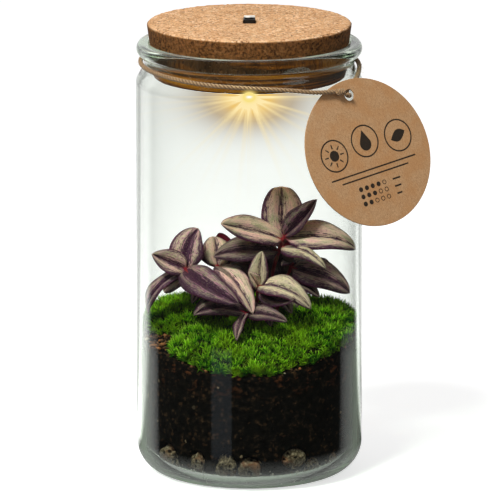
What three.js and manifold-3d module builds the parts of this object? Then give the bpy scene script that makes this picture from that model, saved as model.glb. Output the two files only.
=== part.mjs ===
// Closed glass jar with a cork lid and a lamp in it, planted with a striped trailing plant and moss.
// Millimetres, +Z up. The origin is the centre of the jar's flat base. The front is -Y.

import * as THREE from 'three';
import { mergeVertices } from 'three/addons/utils/BufferGeometryUtils.js';
import Module from 'manifold-3d';

const wasm = await Module();
wasm.setup();

// Driving dimensions: jar
const JAR_R = 70;
const WALL = 2.6;
const FLOOR = 5.5;
const HEEL_R = 19.7;
const HEEL_INNER_R = 17;
const SHOULDER_BOTTOM = 246;
const SHOULDER_TOP = 258;
const NECK_R = 64.8;
const NECK_INNER_R = 61.7;
const BEAD_BOTTOM = 262.5;
const BEAD_TOP = 271.4;
const BEAD_R = 69.7;
const JAR_SIDES = 32;

// Driving dimensions: cork, lamp and switch
const CORK_BOTTOM = 248.5;
const CORK_TOP = 283;
const CORK_BOTTOM_R = 58.5;
const CORK_TOP_R = 63.2;
const LAMP_R = 14;
const LAMP_TOP = 269.5;
const LAMP_WALL = 1.6;
const LEDGE_W = 1.4;
const LEDGE_T = 1.1;
const FLANGE_R = 17;
const FLANGE_T = 1.6;
const FLANGE_CHAMFER = 0.5;
const BOARD_Z = 252;
const BOARD_R = 11.6;
const BOARD_T = 1.6;
const EMITTER_W = 4;
const EMITTER_T = 1.6;
const CONTACT_R = 4;
const CONTACT_T = 0.6;
const CELL_R = 9;
const CELL_T = 3;
const CELL_COUNT = 3;
const CELL_Z = 255.6;
const LENS_R = 11.8;
const LENS_DROP = 10.5;
const LENS_RIM_T = 2.6;
const LENS_SEAT = 248.8;
const LEAD_R = 0.4;
const LEAD_HOLE_R = 2.6;
const SWITCH_W = 7.4;
const SWITCH_D = 8.8;
const SWITCH_PROUD = 2.2;
const SWITCH_SUNK = 5;
const SLOT_DEPTH = 1.5;
const KNOB_W = 2.4;
const KNOB_D = 3.4;
const KNOB_PROUD = 1.6;
const KNOB_TRAVEL = 2;

// Driving dimensions: twine and tag
const TWINE_R = 1.4;
const KNOT = [3.8, 2.2, 2.2];
const KNOT_CENTRE = [55.5, -50.6, 249.1];
const KNOT_TURN = 36;
const TAG_R = 46;
const TAG_T = 1;
const TAG_HOLE_R = 3.5;
const TAG_HOLE_UP = 36.6;
const TAG_CENTRE = [72.4, -51.3, 211.9];
const TAG_TURN = 35;
const TAG_LEAN = 20;
const TAG_ROLL = 8.4;

// Driving dimensions: planting
const SOIL_CENTRE = 90;
const SOIL_FRONT_FALL = 14;
const SOIL_EDGE_FALL = 3;
const SOIL_BACK_RISE = 3;
const MOSS_LIFT = 2.2;
const STEM_R = 1.5;
const STEM_STEPS = 7;
const ROOT_DEPTH = 16;
const BLADE_T = 0.7;
const BLADE_CUP = 0.1;
const EDGE_WAVE = 0.5;
const GAP = 0.3;
const SEED = 11;

const DEG = Math.PI / 180;

// Colour, roughness and metalness of each finish
const FINISH = {
  glass: [0xdfeae4, 0.05, 0],
  cork: [0xc79a64, 0.9, 0],
  blackPlastic: [0x151515, 0.45, 0],
  whitePlastic: [0xe9e6de, 0.5, 0],
  lens: [0xfff2cf, 0.15, 0],
  board: [0x1f5a33, 0.6, 0],
  emitter: [0xffdf8a, 0.4, 0],
  steel: [0xb9bcc0, 0.35, 1],
  brass: [0xc9a24c, 0.35, 1],
  lead: [0xa02a22, 0.6, 0],
  twine: [0xa98657, 0.95, 0],
  card: [0xb5875a, 0.9, 0],
  soil: [0x241a14, 1, 0],
  moss: [0x5b9a1f, 0.95, 0],
  leaf: [0x7d6a70, 0.5, 0],
  stone: [0x9c8f78, 0.85, 0],
};

const part = new THREE.Group();

// Closed solids: to and from the boolean library

function toSolid(geometry) {
  const bare = geometry.clone();
  bare.deleteAttribute('normal');
  bare.deleteAttribute('uv');
  const merged = mergeVertices(bare, 1e-4);
  const index = merged.index.array;
  const kept = [];
  for (let i = 0; i < index.length; i += 3) {
    const [a, b, c] = [index[i], index[i + 1], index[i + 2]];
    if (a !== b && b !== c && c !== a) kept.push(a, b, c);
  }
  const vertProperties = new Float32Array(merged.attributes.position.array);
  const triVerts = new Uint32Array(kept);
  return new wasm.Manifold(new wasm.Mesh({ numProp: 3, vertProperties, triVerts }));
}

function toGeometry(solid) {
  const { vertProperties, triVerts } = solid.getMesh();
  const geometry = new THREE.BufferGeometry();
  geometry.setAttribute('position', new THREE.BufferAttribute(vertProperties, 3));
  geometry.setIndex(new THREE.BufferAttribute(triVerts, 1));
  return geometry;
}

function joined(solids) {
  return solids.reduce((whole, next) => whole.add(next));
}

// The main body alone, without loose scraps and with sealed hollows filled

function largestBody(solid) {
  return solid.decompose().reduce((best, next) => (next.volume() > best.volume() ? next : best));
}

function addNode(name, solid, finish) {
  const [color, roughness, metalness] = FINISH[finish];
  const material = new THREE.MeshStandardMaterial({ color, roughness, metalness });
  const mesh = new THREE.Mesh(toGeometry(solid), material);
  mesh.name = name;
  part.add(mesh);
  return mesh;
}

// Simple solids of revolution, upright

function turned(points, sides) {
  const profile = points.map(([r, z]) => new THREE.Vector2(r, z));
  return toSolid(new THREE.LatheGeometry(profile, sides).rotateX(Math.PI / 2));
}

function disc(radius, bottom, top, sides = 20) {
  return turned([[0, bottom], [radius, bottom], [radius, top], [0, top]], sides);
}

function block(width, depth, bottom, top, x = 0) {
  const box = new THREE.BoxGeometry(width, depth, top - bottom);
  return toSolid(box.translate(x, 0, (bottom + top) / 2));
}

function arc(r, z, radiusR, radiusZ, from, to, steps) {
  const points = [];
  for (let i = 0; i <= steps; i += 1) {
    const angle = (from + ((to - from) * i) / steps) * DEG;
    points.push([r + radiusR * Math.cos(angle), z + radiusZ * Math.sin(angle)]);
  }
  return points;
}

function easedLine(r0, z0, r1, z1, steps) {
  const points = [];
  for (let i = 0; i <= steps; i += 1) {
    const t = i / steps;
    points.push([r0 + (r1 - r0) * t * t * (3 - 2 * t), z0 + (z1 - z0) * t]);
  }
  return points;
}

// Inside of the jar below the shoulder, smaller all round by a clearance

function cavityProfile(clear) {
  const inner = JAR_R - WALL;
  const heelR = HEEL_INNER_R - clear;
  return arc(inner - HEEL_INNER_R, FLOOR + HEEL_INNER_R, heelR, heelR, -90, 0, 5);
}

function jar() {
  const inner = JAR_R - WALL;
  const beadHalf = (BEAD_TOP - BEAD_BOTTOM) / 2;
  const beadMid = NECK_R + 0.9;
  return turned([
    [0, 0],
    ...arc(JAR_R - HEEL_R, HEEL_R, HEEL_R, HEEL_R, -90, 0, 5),
    ...easedLine(JAR_R, SHOULDER_BOTTOM, NECK_R, SHOULDER_TOP, 3),
    ...arc(beadMid, BEAD_BOTTOM + beadHalf, BEAD_R - beadMid, beadHalf, -90, 90, 4),
    ...arc(NECK_INNER_R + 1.6, BEAD_TOP - 1.6, 1.6, 1.6, 90, 180, 2),
    ...easedLine(NECK_INNER_R, SHOULDER_TOP, inner, SHOULDER_BOTTOM - 2, 3),
    ...cavityProfile(0).reverse(),
    [0, FLOOR],
  ], JAR_SIDES);
}

// Cork with a stepped bore: wide for the lamp housing, narrow for the leads, square for the switch

function cork() {
  const slope = (CORK_TOP_R - CORK_BOTTOM_R) / (CORK_TOP - CORK_BOTTOM);
  const body = turned([
    [0, CORK_BOTTOM],
    [CORK_BOTTOM_R - 0.8, CORK_BOTTOM],
    [CORK_BOTTOM_R + slope, CORK_BOTTOM + 1],
    [CORK_TOP_R - 1.5 * slope, CORK_TOP - 1.5],
    [CORK_TOP_R - 0.5, CORK_TOP - 0.4],
    [CORK_TOP_R - 1.5, CORK_TOP],
    [0, CORK_TOP],
  ], JAR_SIDES);
  const bore = disc(LAMP_R + GAP, CORK_BOTTOM - 1, LAMP_TOP + GAP);
  const channel = disc(LEAD_HOLE_R, LAMP_TOP, CORK_TOP, 16);
  const pocketFloor = CORK_TOP - SWITCH_SUNK - GAP;
  const pocket = block(SWITCH_W + 2 * GAP, SWITCH_D + 2 * GAP, pocketFloor, CORK_TOP + 1);
  return body.subtract(joined([bore, channel, pocket]));
}

// Lamp: a flanged cup, open below, with cells above the board and a domed lens in its mouth

const BOARD_TOP = BOARD_Z + BOARD_T;

function lampHousing() {
  const inner = LAMP_R - LAMP_WALL;
  const flangeTop = CORK_BOTTOM - GAP;
  const flangeBottom = flangeTop - FLANGE_T;
  const ledge = BOARD_TOP + GAP;
  const cup = turned([
    [0, LAMP_TOP - LAMP_WALL],
    [inner, LAMP_TOP - LAMP_WALL],
    [inner, ledge + LEDGE_T + 0.6],
    [inner - LEDGE_W, ledge + LEDGE_T],
    [inner - LEDGE_W, ledge],
    [inner, ledge],
    [inner, flangeBottom],
    [FLANGE_R - FLANGE_CHAMFER, flangeBottom],
    [FLANGE_R, flangeBottom + FLANGE_CHAMFER],
    [FLANGE_R, flangeTop],
    [LAMP_R, flangeTop],
    [LAMP_R, LAMP_TOP],
    [0, LAMP_TOP],
  ], 20);
  return cup.subtract(disc(LEAD_HOLE_R - GAP, LAMP_TOP - LAMP_WALL - 1, LAMP_TOP + 1, 8));
}

function lampLens() {
  const rim = LENS_SEAT - LENS_RIM_T;
  const dome = arc(0, rim, LENS_R - 2 * GAP, LENS_DROP, -90, 0, 5);
  return turned([...dome, [LENS_R, rim], [LENS_R, LENS_SEAT], [0, LENS_SEAT]], 20);
}

// A lead: down the channel, out under the cup's top, and down beside the cells to the board

function lampLead(side) {
  const ceiling = LAMP_TOP - LAMP_WALL - 0.9;
  const besideCells = CELL_R + 1.2;
  const route = new THREE.CatmullRomCurve3([
    new THREE.Vector3(side * 1.1, 0, CORK_TOP - SWITCH_SUNK - 1.2),
    new THREE.Vector3(side * 1.1, 0, LAMP_TOP + 1),
    new THREE.Vector3(side * 1.3, 0, ceiling),
    new THREE.Vector3(side * 6, 0, ceiling),
    new THREE.Vector3(side * (besideCells - 0.6), 0, ceiling - 0.7),
    new THREE.Vector3(side * besideCells, 0, CELL_Z + 6),
    new THREE.Vector3(side * besideCells, 0, BOARD_TOP + 0.5),
  ]);
  return tube(route, LEAD_R, 6, 12);
}

// Tube along a curve, closed at both ends

function tube(route, radius, sides, steps) {
  const section = new THREE.Shape();
  for (let i = 0; i < sides; i += 1) {
    const angle = (2 * Math.PI * i) / sides;
    const [x, y] = [radius * Math.cos(angle), radius * Math.sin(angle)];
    if (i === 0) section.moveTo(x, y);
    else section.lineTo(x, y);
  }
  return toSolid(new THREE.ExtrudeGeometry(section, { steps, extrudePath: route }));
}

// Slide switch in the cork's pocket

const SWITCH_TOP = CORK_TOP + SWITCH_PROUD;

function switchFrame() {
  const body = block(SWITCH_W, SWITCH_D, CORK_TOP - SWITCH_SUNK, SWITCH_TOP);
  const slotWidth = KNOB_W + KNOB_TRAVEL + 1;
  return body.subtract(block(slotWidth, KNOB_D + 2 * GAP, SWITCH_TOP - SLOT_DEPTH, SWITCH_TOP + 1));
}

function switchKnob() {
  const bottom = SWITCH_TOP - SLOT_DEPTH + GAP;
  return block(KNOB_W, KNOB_D, bottom, SWITCH_TOP + KNOB_PROUD, -KNOB_TRAVEL / 2);
}

// Twine: from its knot on the tag's left side, round the neck by the left and the back,
// up behind the tag's top edge from the right, and out through the tag's hole to the knot

const TWINE_ROUTE = [
  [53.1, -51.4, 249.4], [48.6, -54.3, 249.8], [44.2, -57.2, 250.1], [38.2, -60.8, 250.9],
  [29.8, -64, 252.2], [20.5, -66, 253.3], [9.5, -67.8, 254.2], [-0.2, -67.9, 254.8],
  [-16.6, -65.5, 255.4], [-30.6, -60.1, 256], [-44.7, -50.3, 256.8], [-58, -33.6, 257.6],
  [-64.9, -17, 258.3], [-67, -1.2, 258.9], [-63.5, 21, 259.6], [-53.4, 40.2, 260.2],
  [-37.9, 55.3, 260.5], [-18, 64.9, 260.6], [3, 67.3, 260.6], [24.6, 62.6, 260.5],
  [43.6, 50.7, 260.2], [57.3, 34.3, 259.4], [64.6, 16.2, 258], [67.5, 3.5, 256.4],
  [67.6, -8, 254.9], [65.9, -22, 252.9], [63.4, -32, 251.2], [60.6, -39.4, 249.6],
  [59.6, -41.8, 247.4], [59.8, -43, 245.7], [60.5, -44.8, 245.8], [61.2, -47.2, 246.3],
  [59.6, -49.8, 247.9],
];

function twine() {
  const route = new THREE.CatmullRomCurve3(TWINE_ROUTE.map((p) => new THREE.Vector3(...p)));
  const loop = tube(route, TWINE_R, 8, 58);
  const knot = new THREE.SphereGeometry(1, 8, 6).scale(...KNOT);
  knot.rotateZ(KNOT_TURN * DEG).translate(...KNOT_CENTRE);
  return loop.add(toSolid(knot));
}

function hangTag() {
  const card = new THREE.Shape();
  card.absarc(0, 0, TAG_R, 0, 2 * Math.PI);
  const hole = new THREE.Path();
  hole.absarc(0, TAG_HOLE_UP, TAG_HOLE_R, 0, 2 * Math.PI);
  card.holes.push(hole);
  const options = { depth: TAG_T, bevelEnabled: false, curveSegments: 16 };
  const geometry = new THREE.ExtrudeGeometry(card, options).translate(0, 0, -TAG_T / 2);
  const level = new THREE.Vector3(Math.cos(TAG_TURN * DEG), Math.sin(TAG_TURN * DEG), 0);
  const normal = new THREE.Vector3(level.y, -level.x, Math.tan(TAG_LEAN * DEG)).normalize();
  const rise = new THREE.Vector3().crossVectors(normal, level);
  const right = level.applyAxisAngle(normal, TAG_ROLL * DEG);
  rise.applyAxisAngle(normal, TAG_ROLL * DEG);
  const place = new THREE.Matrix4().makeBasis(right, rise, normal);
  place.setPosition(...TAG_CENTRE);
  return toSolid(geometry.applyMatrix4(place));
}

// Soil: it fills the jar's heel and wall, and its top falls to the front

function seeded(seed) {
  let state = seed;
  return () => {
    state = (state * 1664525 + 1013904223) % 4294967296;
    return state / 4294967296;
  };
}

function ripple(x, y, size) {
  const [a, b] = [x / size, y / size];
  return Math.sin(a + 1.7 * Math.sin(b)) * Math.sin(1.3 * b - 1.1 * Math.sin(0.9 * a));
}

function soilTop(x, y) {
  const inner = JAR_R - WALL;
  const edge = (x * x + y * y) / (inner * inner);
  const front = Math.max(0, -y / inner);
  const back = Math.max(0, y / inner);
  const lie = SOIL_CENTRE - SOIL_EDGE_FALL * edge - SOIL_FRONT_FALL * front * front;
  return lie + SOIL_BACK_RISE * back + 0.7 * ripple(x, y, 4.5);
}

const SOIL_RINGS = [JAR_R - WALL - GAP, 56, 43, 28, 13, 0];

function withSoilTop(profile, lift) {
  const points = profile.map(([r, z]) => new THREE.Vector2(r, z));
  const body = new THREE.LatheGeometry(points, JAR_SIDES).rotateX(Math.PI / 2);
  const places = body.attributes.position;
  for (let i = 0; i < places.count; i += 1) {
    if (places.getZ(i) > SOIL_CENTRE - 0.01) {
      places.setZ(i, soilTop(places.getX(i), places.getY(i)) + lift);
    }
  }
  return toSolid(body);
}

function soilBody() {
  const top = SOIL_RINGS.map((r) => [r, SOIL_CENTRE]);
  return withSoilTop([[0, FLOOR + GAP], ...cavityProfile(GAP), ...top], 0);
}

// The soil and the gap over it, wider than the jar, to cut what rests on the soil

function soilCutter() {
  const top = [JAR_R + 2, ...SOIL_RINGS].map((r) => [r, SOIL_CENTRE]);
  return withSoilTop([[0, 30], [JAR_R + 2, 30], ...top], GAP);
}

// Moss cushions: rounded mounds covered with tufts, which follow the soil that they rest on

const MOSS = [
  {
    name: 'moss_front',
    mounds: [
      { at: [-19, -40], size: [30, 25, 8], turn: -30 },
      { at: [2, -31], size: [27, 42, 7], turn: 0 },
    ],
  },
  {
    name: 'moss_right',
    mounds: [
      { at: [45.5, 0], size: [26, 30, 14.5], turn: 0 },
      { at: [34, -28], size: [37, 27, 9.5], turn: 36 },
    ],
  },
  {
    name: 'moss_back_left',
    mounds: [
      { at: [-39, 12], size: [31, 30, 13.5], turn: 20 },
    ],
  },
  {
    name: 'moss_back',
    mounds: [
      { at: [0, 40], size: [52, 34, 8.5], turn: 0 },
    ],
  },
];

function tuft(x, y, z) {
  const lobes = Math.sin(x * 0.62 + 0.4 * z) * Math.sin(y * 0.66 + 1.1) * Math.cos(z * 0.5);
  return 0.045 * lobes + 0.03 * ripple(x + z, y - z, 1.9);
}

function mound({ at: [x, y], size, turn }, grow) {
  const [a, b, h] = size.map((reach) => reach + grow);
  const shape = new THREE.SphereGeometry(1, 16, 7).rotateX(Math.PI / 2);
  const places = shape.attributes.position;
  const p = new THREE.Vector3();
  for (let i = 0; i < places.count; i += 1) {
    p.fromBufferAttribute(places, i);
    p.multiplyScalar(1 + tuft(p.x * a, p.y * b, p.z * h) * (p.z > -0.2 ? 1 : 0));
    places.setXYZ(i, p.x * a, p.y * b, p.z * h);
  }
  shape.rotateZ(turn * DEG).translate(x, y, MOSS_LIFT);
  for (let i = 0; i < places.count; i += 1) {
    const [px, py] = [places.getX(i), places.getY(i)];
    const inside = Math.min(1, (JAR_R - WALL) / Math.hypot(px, py));
    places.setZ(i, places.getZ(i) + soilTop(px * inside, py * inside));
  }
  return toSolid(shape);
}

// Leafy stems. Each leaf leaves its stem at a share of the stem's length and ends at its tip.
// wide: greatest width. arch and hook: rise of the midrib, whole and near its tip. sweep: its bend
// sideways. fold: how far the halves rise. blunt: roundness of the tip. face: the upper side.

const STEMS = [
  {
    name: 'plant_stem_top',
    route: [[8, 2], [11, 1, 104], [15, -2, 128], [21.5, -8, 149]],
    leaves: [
      {
        from: 0.98, tip: [19.6, 6, 178], wide: 27, blunt: 0.4, arch: -3, hook: 6, fold: 8,
        face: [0.1, -1, 0.25],
      },
      { from: 1, tip: [41.5, -17, 175], wide: 19, arch: -2, hook: -3, fold: 42, face: [-0.45, -0.8, 0.35] },
      { from: 1, tip: [66, -4, 141], wide: 21, arch: 5, hook: 5, fold: 10, face: [0.1, -0.75, 0.7] },
      {
        from: 0.97, tip: [-17.5, -26, 161.5], wide: 20, arch: 0, hook: -3, fold: 10, sweep: 2,
        face: [-0.1, -0.75, 0.7],
      },
      { from: 0.87, tip: [-22, -9, 137], wide: 20, arch: 3, hook: 2, fold: 10, face: [-0.2, -0.7, 0.7] },
      { from: 0.9, tip: [46.5, -33, 135], wide: 14, arch: 4, hook: 4, fold: -22, face: [0.1, -0.5, 0.9] },
      { from: 0.93, tip: [40, 28, 144], wide: 20, arch: 4, hook: 3, fold: 14, face: [0.2, 0.4, 0.9] },
      { from: 0.9, tip: [3, 30, 140], wide: 18, arch: 4, hook: 3, fold: 14, face: [-0.2, 0.4, 0.9] },
      { from: 0.45, tip: [26, -18, 103], wide: 13, arch: 3, hook: 2, fold: 12, face: [0.2, -0.6, 0.8] },
    ],
  },
  {
    name: 'plant_stem_left',
    route: [[-12, -2], [-16, -3, 104], [-28, -8, 122], [-39.5, -13, 130]],
    leaves: [
      {
        from: 0.98, tip: [-31.5, -6, 154], wide: 22, arch: 0, hook: 2, fold: 12, sweep: -3,
        face: [-0.1, -1, 0.3],
      },
      {
        from: 0.99, tip: [-59.5, -18, 140.5], wide: 18, arch: 0, hook: -1, fold: 28,
        face: [-0.1, -0.9, 0.5],
      },
      { from: 1, tip: [-62, -9, 100.5], wide: 12, arch: 6, hook: 3, fold: 16, face: [-0.6, -0.6, 0.5] },
      {
        from: 1, tip: [-6.5, -46, 115.5], wide: 21, arch: 5, hook: 2, fold: 10, sweep: 4,
        face: [0, -0.85, 0.6],
      },
      { from: 0.93, tip: [-53, 0, 113], wide: 12, arch: 3, hook: 1, fold: 12, face: [-0.3, -0.9, 0.4] },
      { from: 0.95, tip: [-51, 21, 126], wide: 17, arch: 4, hook: 2, fold: 14, face: [-0.3, 0.3, 0.9] },
      { from: 0.45, tip: [-34, -24, 103], wide: 13, arch: 3, hook: 2, fold: 12, face: [-0.1, -0.6, 0.8] },
    ],
  },
  {
    name: 'plant_stem_middle',
    route: [[-6, 4], [-8, 3, 106], [-14, -1, 122], [-20, -5, 130]],
    leaves: [
      { from: 0.98, tip: [-22, 11, 145], wide: 20, arch: 0, hook: 3, fold: 8, face: [0.3, -0.9, 0.4] },
      { from: 0.99, tip: [-4, -24, 114], wide: 18, arch: 4, hook: 2, fold: 10, face: [0.4, -0.6, 0.7] },
      { from: 1, tip: [2, -39, 107.5], wide: 18, arch: 4, hook: 2, fold: 10, face: [0.3, -0.6, 0.8] },
      { from: 0.7, tip: [7, -5, 122], wide: 18, arch: 2, hook: 2, fold: 10, face: [0, -0.9, 0.5] },
      { from: 0.9, tip: [-35, -29, 112], wide: 14, arch: 3, hook: 2, fold: 10, face: [-0.2, -0.6, 0.8] },
      { from: 0.95, tip: [-38, 24, 128], wide: 18, arch: 5, hook: 2, fold: 14, face: [-0.3, 0.3, 0.9] },
    ],
  },
  {
    name: 'plant_stem_centre',
    route: [[3, -8], [4, -10, 102], [5, -17, 113], [5.5, -22, 121]],
    leaves: [
      { from: 1, tip: [8, -21, 143], wide: 14, arch: 0, hook: 1, fold: 24, face: [-0.3, -1, 0.1] },
      { from: 0.98, tip: [-0.5, -28, 131.5], wide: 9, arch: 1, hook: 0, fold: 20, face: [0.3, -0.9, 0.3] },
      { from: 1, tip: [37.5, -40, 111], wide: 19, arch: 6, hook: 4, fold: 10, face: [0.1, -0.65, 0.8] },
      {
        from: 0.92, tip: [28, -47, 119], wide: 12, arch: -3, hook: -1, fold: 16, sweep: 2,
        face: [0, -0.9, 0.5],
      },
      { from: 0.7, tip: [13, -40, 100], wide: 12, arch: 3, hook: 2, fold: 10, face: [0.2, -0.7, 0.7] },
    ],
  },
  {
    name: 'plant_stem_front',
    route: [[-3, -17], [-3, -20, 96], [-2.5, -27, 103], [-1.5, -34, 107]],
    leaves: [
      { from: 0.97, tip: [23, -45, 104], wide: 12, arch: 2, hook: 2, fold: 12, face: [0.1, -0.7, 0.7] },
      {
        from: 0.97, tip: [-33.5, -47, 109], wide: 13, arch: 0, hook: 0, fold: 12, sweep: 5,
        face: [0, -0.9, 0.5],
      },
      { from: 1, tip: [-7.5, -50.5, 93.5], wide: 8, arch: 2, hook: 1, fold: 16, face: [-0.5, -0.8, 0.4] },
    ],
  },
  {
    name: 'plant_stem_right',
    route: [[15, 3], [18, 3, 104], [22, 2, 118], [26, 1, 128]],
    leaves: [
      { from: 0.99, tip: [62, -6, 113.5], wide: 21, arch: 4, hook: 4, fold: 8, face: [0.2, -0.8, 0.65] },
      { from: 0.8, tip: [43, -12, 112], wide: 13, arch: 3, hook: 2, fold: 12, face: [0.2, -0.6, 0.8] },
      { from: 1, tip: [20, -9, 131], wide: 8, arch: 1, hook: 0, fold: 30, face: [-0.3, -0.6, 0.6] },
      { from: 0.98, tip: [50, 22, 122], wide: 18, arch: 4, hook: 3, fold: 12, face: [0.3, 0.2, 0.9] },
    ],
  },
  {
    name: 'plant_stem_back_left',
    route: [[-7, 13], [-9, 16, 106], [-12, 21, 118], [-15, 25, 126]],
    leaves: [
      { from: 1, tip: [-45, 38, 118], wide: 19, arch: 5, hook: 4, fold: 12, face: [-0.3, 0.5, 0.8] },
      { from: 0.9, tip: [-20, 59, 115], wide: 20, arch: 5, hook: 3, fold: 12, face: [0, 0.6, 0.8] },
      { from: 0.96, tip: [9, 46, 130], wide: 18, arch: 4, hook: 2, fold: 12, face: [0.2, 0.6, 0.8] },
      { from: 1, tip: [-19, 31, 143], wide: 15, arch: 1, hook: 1, fold: 16, face: [0.2, 1, 0.3] },
      { from: 0.5, tip: [2, 9, 124], wide: 17, arch: 2, hook: 1, fold: 12, face: [0, -1, 0.3] },
    ],
  },
  {
    name: 'plant_stem_back_right',
    route: [[8, 14], [11, 18, 104], [17, 24, 114], [22, 29, 121]],
    leaves: [
      { from: 1, tip: [53, 34, 112], wide: 18, arch: 5, hook: 4, fold: 12, face: [0.3, 0.5, 0.8] },
      { from: 0.98, tip: [31, 58, 112], wide: 19, arch: 5, hook: 3, fold: 12, face: [0.1, 0.6, 0.8] },
      { from: 0.97, tip: [2, 58, 111], wide: 16, arch: 4, hook: 3, fold: 12, face: [-0.2, 0.6, 0.8] },
      { from: 0.7, tip: [12, 13, 131], wide: 14, arch: 2, hook: 1, fold: 12, face: [0, -1, 0.3] },
      { from: 1, tip: [28, 36, 139], wide: 15, arch: 1, hook: 1, fold: 18, face: [-0.1, 1, 0.3] },
    ],
  },
];

// Half the width of a leaf along its length, as a share of its greatest: a short narrow base,
// then an oval that is fullest before its middle

function outline(t, blunt = 0.62) {
  return Math.min(1, 0.15 + 9 * t) * Math.sin(Math.PI * t ** 0.8) ** blunt;
}

// One point of a blade's middle surface: across from -1 to 1, along from 0 to 1

function bladePoint(leaf, base, across, along) {
  const tip = new THREE.Vector3(...leaf.tip);
  const chord = tip.clone().sub(base);
  const side = new THREE.Vector3().crossVectors(chord, new THREE.Vector3(...leaf.face)).normalize();
  const upper = new THREE.Vector3().crossVectors(side, chord).normalize();
  const [rise, hook, sweep] = [leaf.arch, leaf.hook, leaf.sweep ?? 0].map((bow) => (4 / 3) * bow);
  const near = base.clone().addScaledVector(chord, 1 / 3);
  const far = base.clone().addScaledVector(chord, 2 / 3);
  near.addScaledVector(upper, rise).addScaledVector(side, sweep);
  far.addScaledVector(upper, rise + hook).addScaledVector(side, sweep);
  const rib = new THREE.CubicBezierCurve3(base, near, far, tip);
  const heading = rib.getTangent(along);
  const lift = new THREE.Vector3().crossVectors(side, heading).normalize();
  const level = new THREE.Vector3().crossVectors(heading, lift);
  const half = Math.max(0.3, (leaf.wide / 2) * outline(along, leaf.blunt));
  const out = Math.abs(across);
  const fold = leaf.fold * DEG;
  const height = half * (out * Math.sin(fold) + BLADE_CUP * Math.sin(Math.PI * out));
  const ruffle = Math.sin(9 * along + 2 * across) * Math.sin(Math.PI * along);
  return rib.getPoint(along)
    .addScaledVector(level, across * half * Math.cos(fold))
    .addScaledVector(lift, height + EDGE_WAVE * out * out * ruffle);
}

// A blade: a grid laid on the middle surface and doubled into an upper and a lower face

function leafBlade(leaf, base, columns = 4, rows = 4) {
  const half = BLADE_T / 2;
  const places = [];
  for (const sign of [1, -1]) {
    for (let j = 0; j <= rows; j += 1) {
      for (let i = 0; i <= columns; i += 1) {
        const across = -1 + (2 * i) / columns;
        const along = 0.02 + 0.98 * (j / rows) ** 1.3;
        const here = bladePoint(leaf, base, across, along);
        const step = 0.01;
        const right = bladePoint(leaf, base, across + step, along);
        const ahead = bladePoint(leaf, base, across, Math.min(1, along + step));
        const behind = bladePoint(leaf, base, across, along - step);
        const normal = right.sub(here).cross(ahead.sub(behind)).normalize();
        places.push(here.addScaledVector(normal, sign * half));
      }
    }
  }
  return closedSheet(places, columns, rows);
}

function closedSheet(places, columns, rows) {
  const width = columns + 1;
  const under = width * (rows + 1);
  const index = [];
  const quad = (a, b, c, d) => index.push(a, b, c, a, c, d);
  for (let j = 0; j < rows; j += 1) {
    for (let i = 0; i < columns; i += 1) {
      const a = j * width + i;
      quad(a, a + 1, a + 1 + width, a + width);
      index.push(a + under, a + 1 + width + under, a + 1 + under);
      index.push(a + under, a + width + under, a + 1 + width + under);
    }
    const left = j * width;
    const right = left + columns;
    quad(left, left + width, left + width + under, left + under);
    quad(right + width, right, right + under, right + width + under);
  }
  for (let i = 0; i < columns; i += 1) {
    const last = rows * width + i;
    quad(i + 1, i, i + under, i + 1 + under);
    quad(last, last + 1, last + 1 + under, last + under);
  }
  const sheet = new THREE.BufferGeometry().setFromPoints(places);
  sheet.setIndex(index);
  return toSolid(sheet);
}

function stemCurve(stem, depth = ROOT_DEPTH) {
  const [[footX, footY], ...rest] = stem.route;
  const ground = soilTop(footX, footY);
  const points = [[footX, footY, ground - depth], [footX, footY, ground], ...rest];
  return new THREE.CatmullRomCurve3(points.map((p) => new THREE.Vector3(...p)));
}

function leafyStem(stem) {
  const curve = stemCurve(stem);
  const shoot = tube(curve, STEM_R, 6, STEM_STEPS);
  const blades = stem.leaves.map((leaf) => leafBlade(leaf, curve.getPointAt(leaf.from)));
  return largestBody(joined([shoot, ...blades]));
}

function stemHole(stem) {
  return tube(stemCurve(stem, ROOT_DEPTH + GAP), STEM_R + 2 * GAP, 6, STEM_STEPS);
}

// Space inside the glass, below the shoulder, clear of it by the gap

const room = turned([
  [0, FLOOR + GAP],
  ...cavityProfile(GAP),
  [JAR_R - WALL - GAP, SHOULDER_BOTTOM - 20],
  [0, SHOULDER_BOTTOM - 20],
], JAR_SIDES);

// Drainage pebbles on the jar's floor: [angle from the front, size across, size up, height]

const PEBBLES = [
  [-50, 15, 15, 17.2], [-29, 8, 12, 17.4], [-13, 11, 14.5, 16.4], [0, 12, 12.5, 15.4],
  [25, 13.5, 11, 20.6], [37, 9.5, 10.5, 13.4], [52, 8, 10, 14.2], [88, 13, 12, 16],
  [124, 11, 13, 16.4], [163, 14, 12, 15.4], [-153, 12, 14, 16.6], [-106, 14, 12.5, 16],
];

function pebble([angle, across, tall, height], random) {
  const shape = new THREE.SphereGeometry(1, 7, 4).rotateX(Math.PI / 2);
  const merged = mergeVertices(new THREE.BufferGeometry()
    .setAttribute('position', shape.attributes.position)
    .setIndex(shape.index), 1e-4);
  const places = merged.attributes.position;
  for (let i = 0; i < places.count; i += 1) {
    const grow = 0.86 + 0.14 * random();
    places.setXYZ(i, places.getX(i) * grow, places.getY(i) * grow, places.getZ(i) * grow);
  }
  merged.scale(across / 2, across * 0.42, tall / 2);
  const heel = FLOOR + HEEL_INNER_R - height;
  const glass = JAR_R - WALL - HEEL_INNER_R + Math.sqrt(HEEL_INNER_R ** 2 - Math.max(0, heel) ** 2);
  const reach = glass + 0.6 - across * 0.4;
  merged.translate(0, -reach, height).rotateZ(angle * DEG);
  return toSolid(merged).intersect(room);
}

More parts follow.
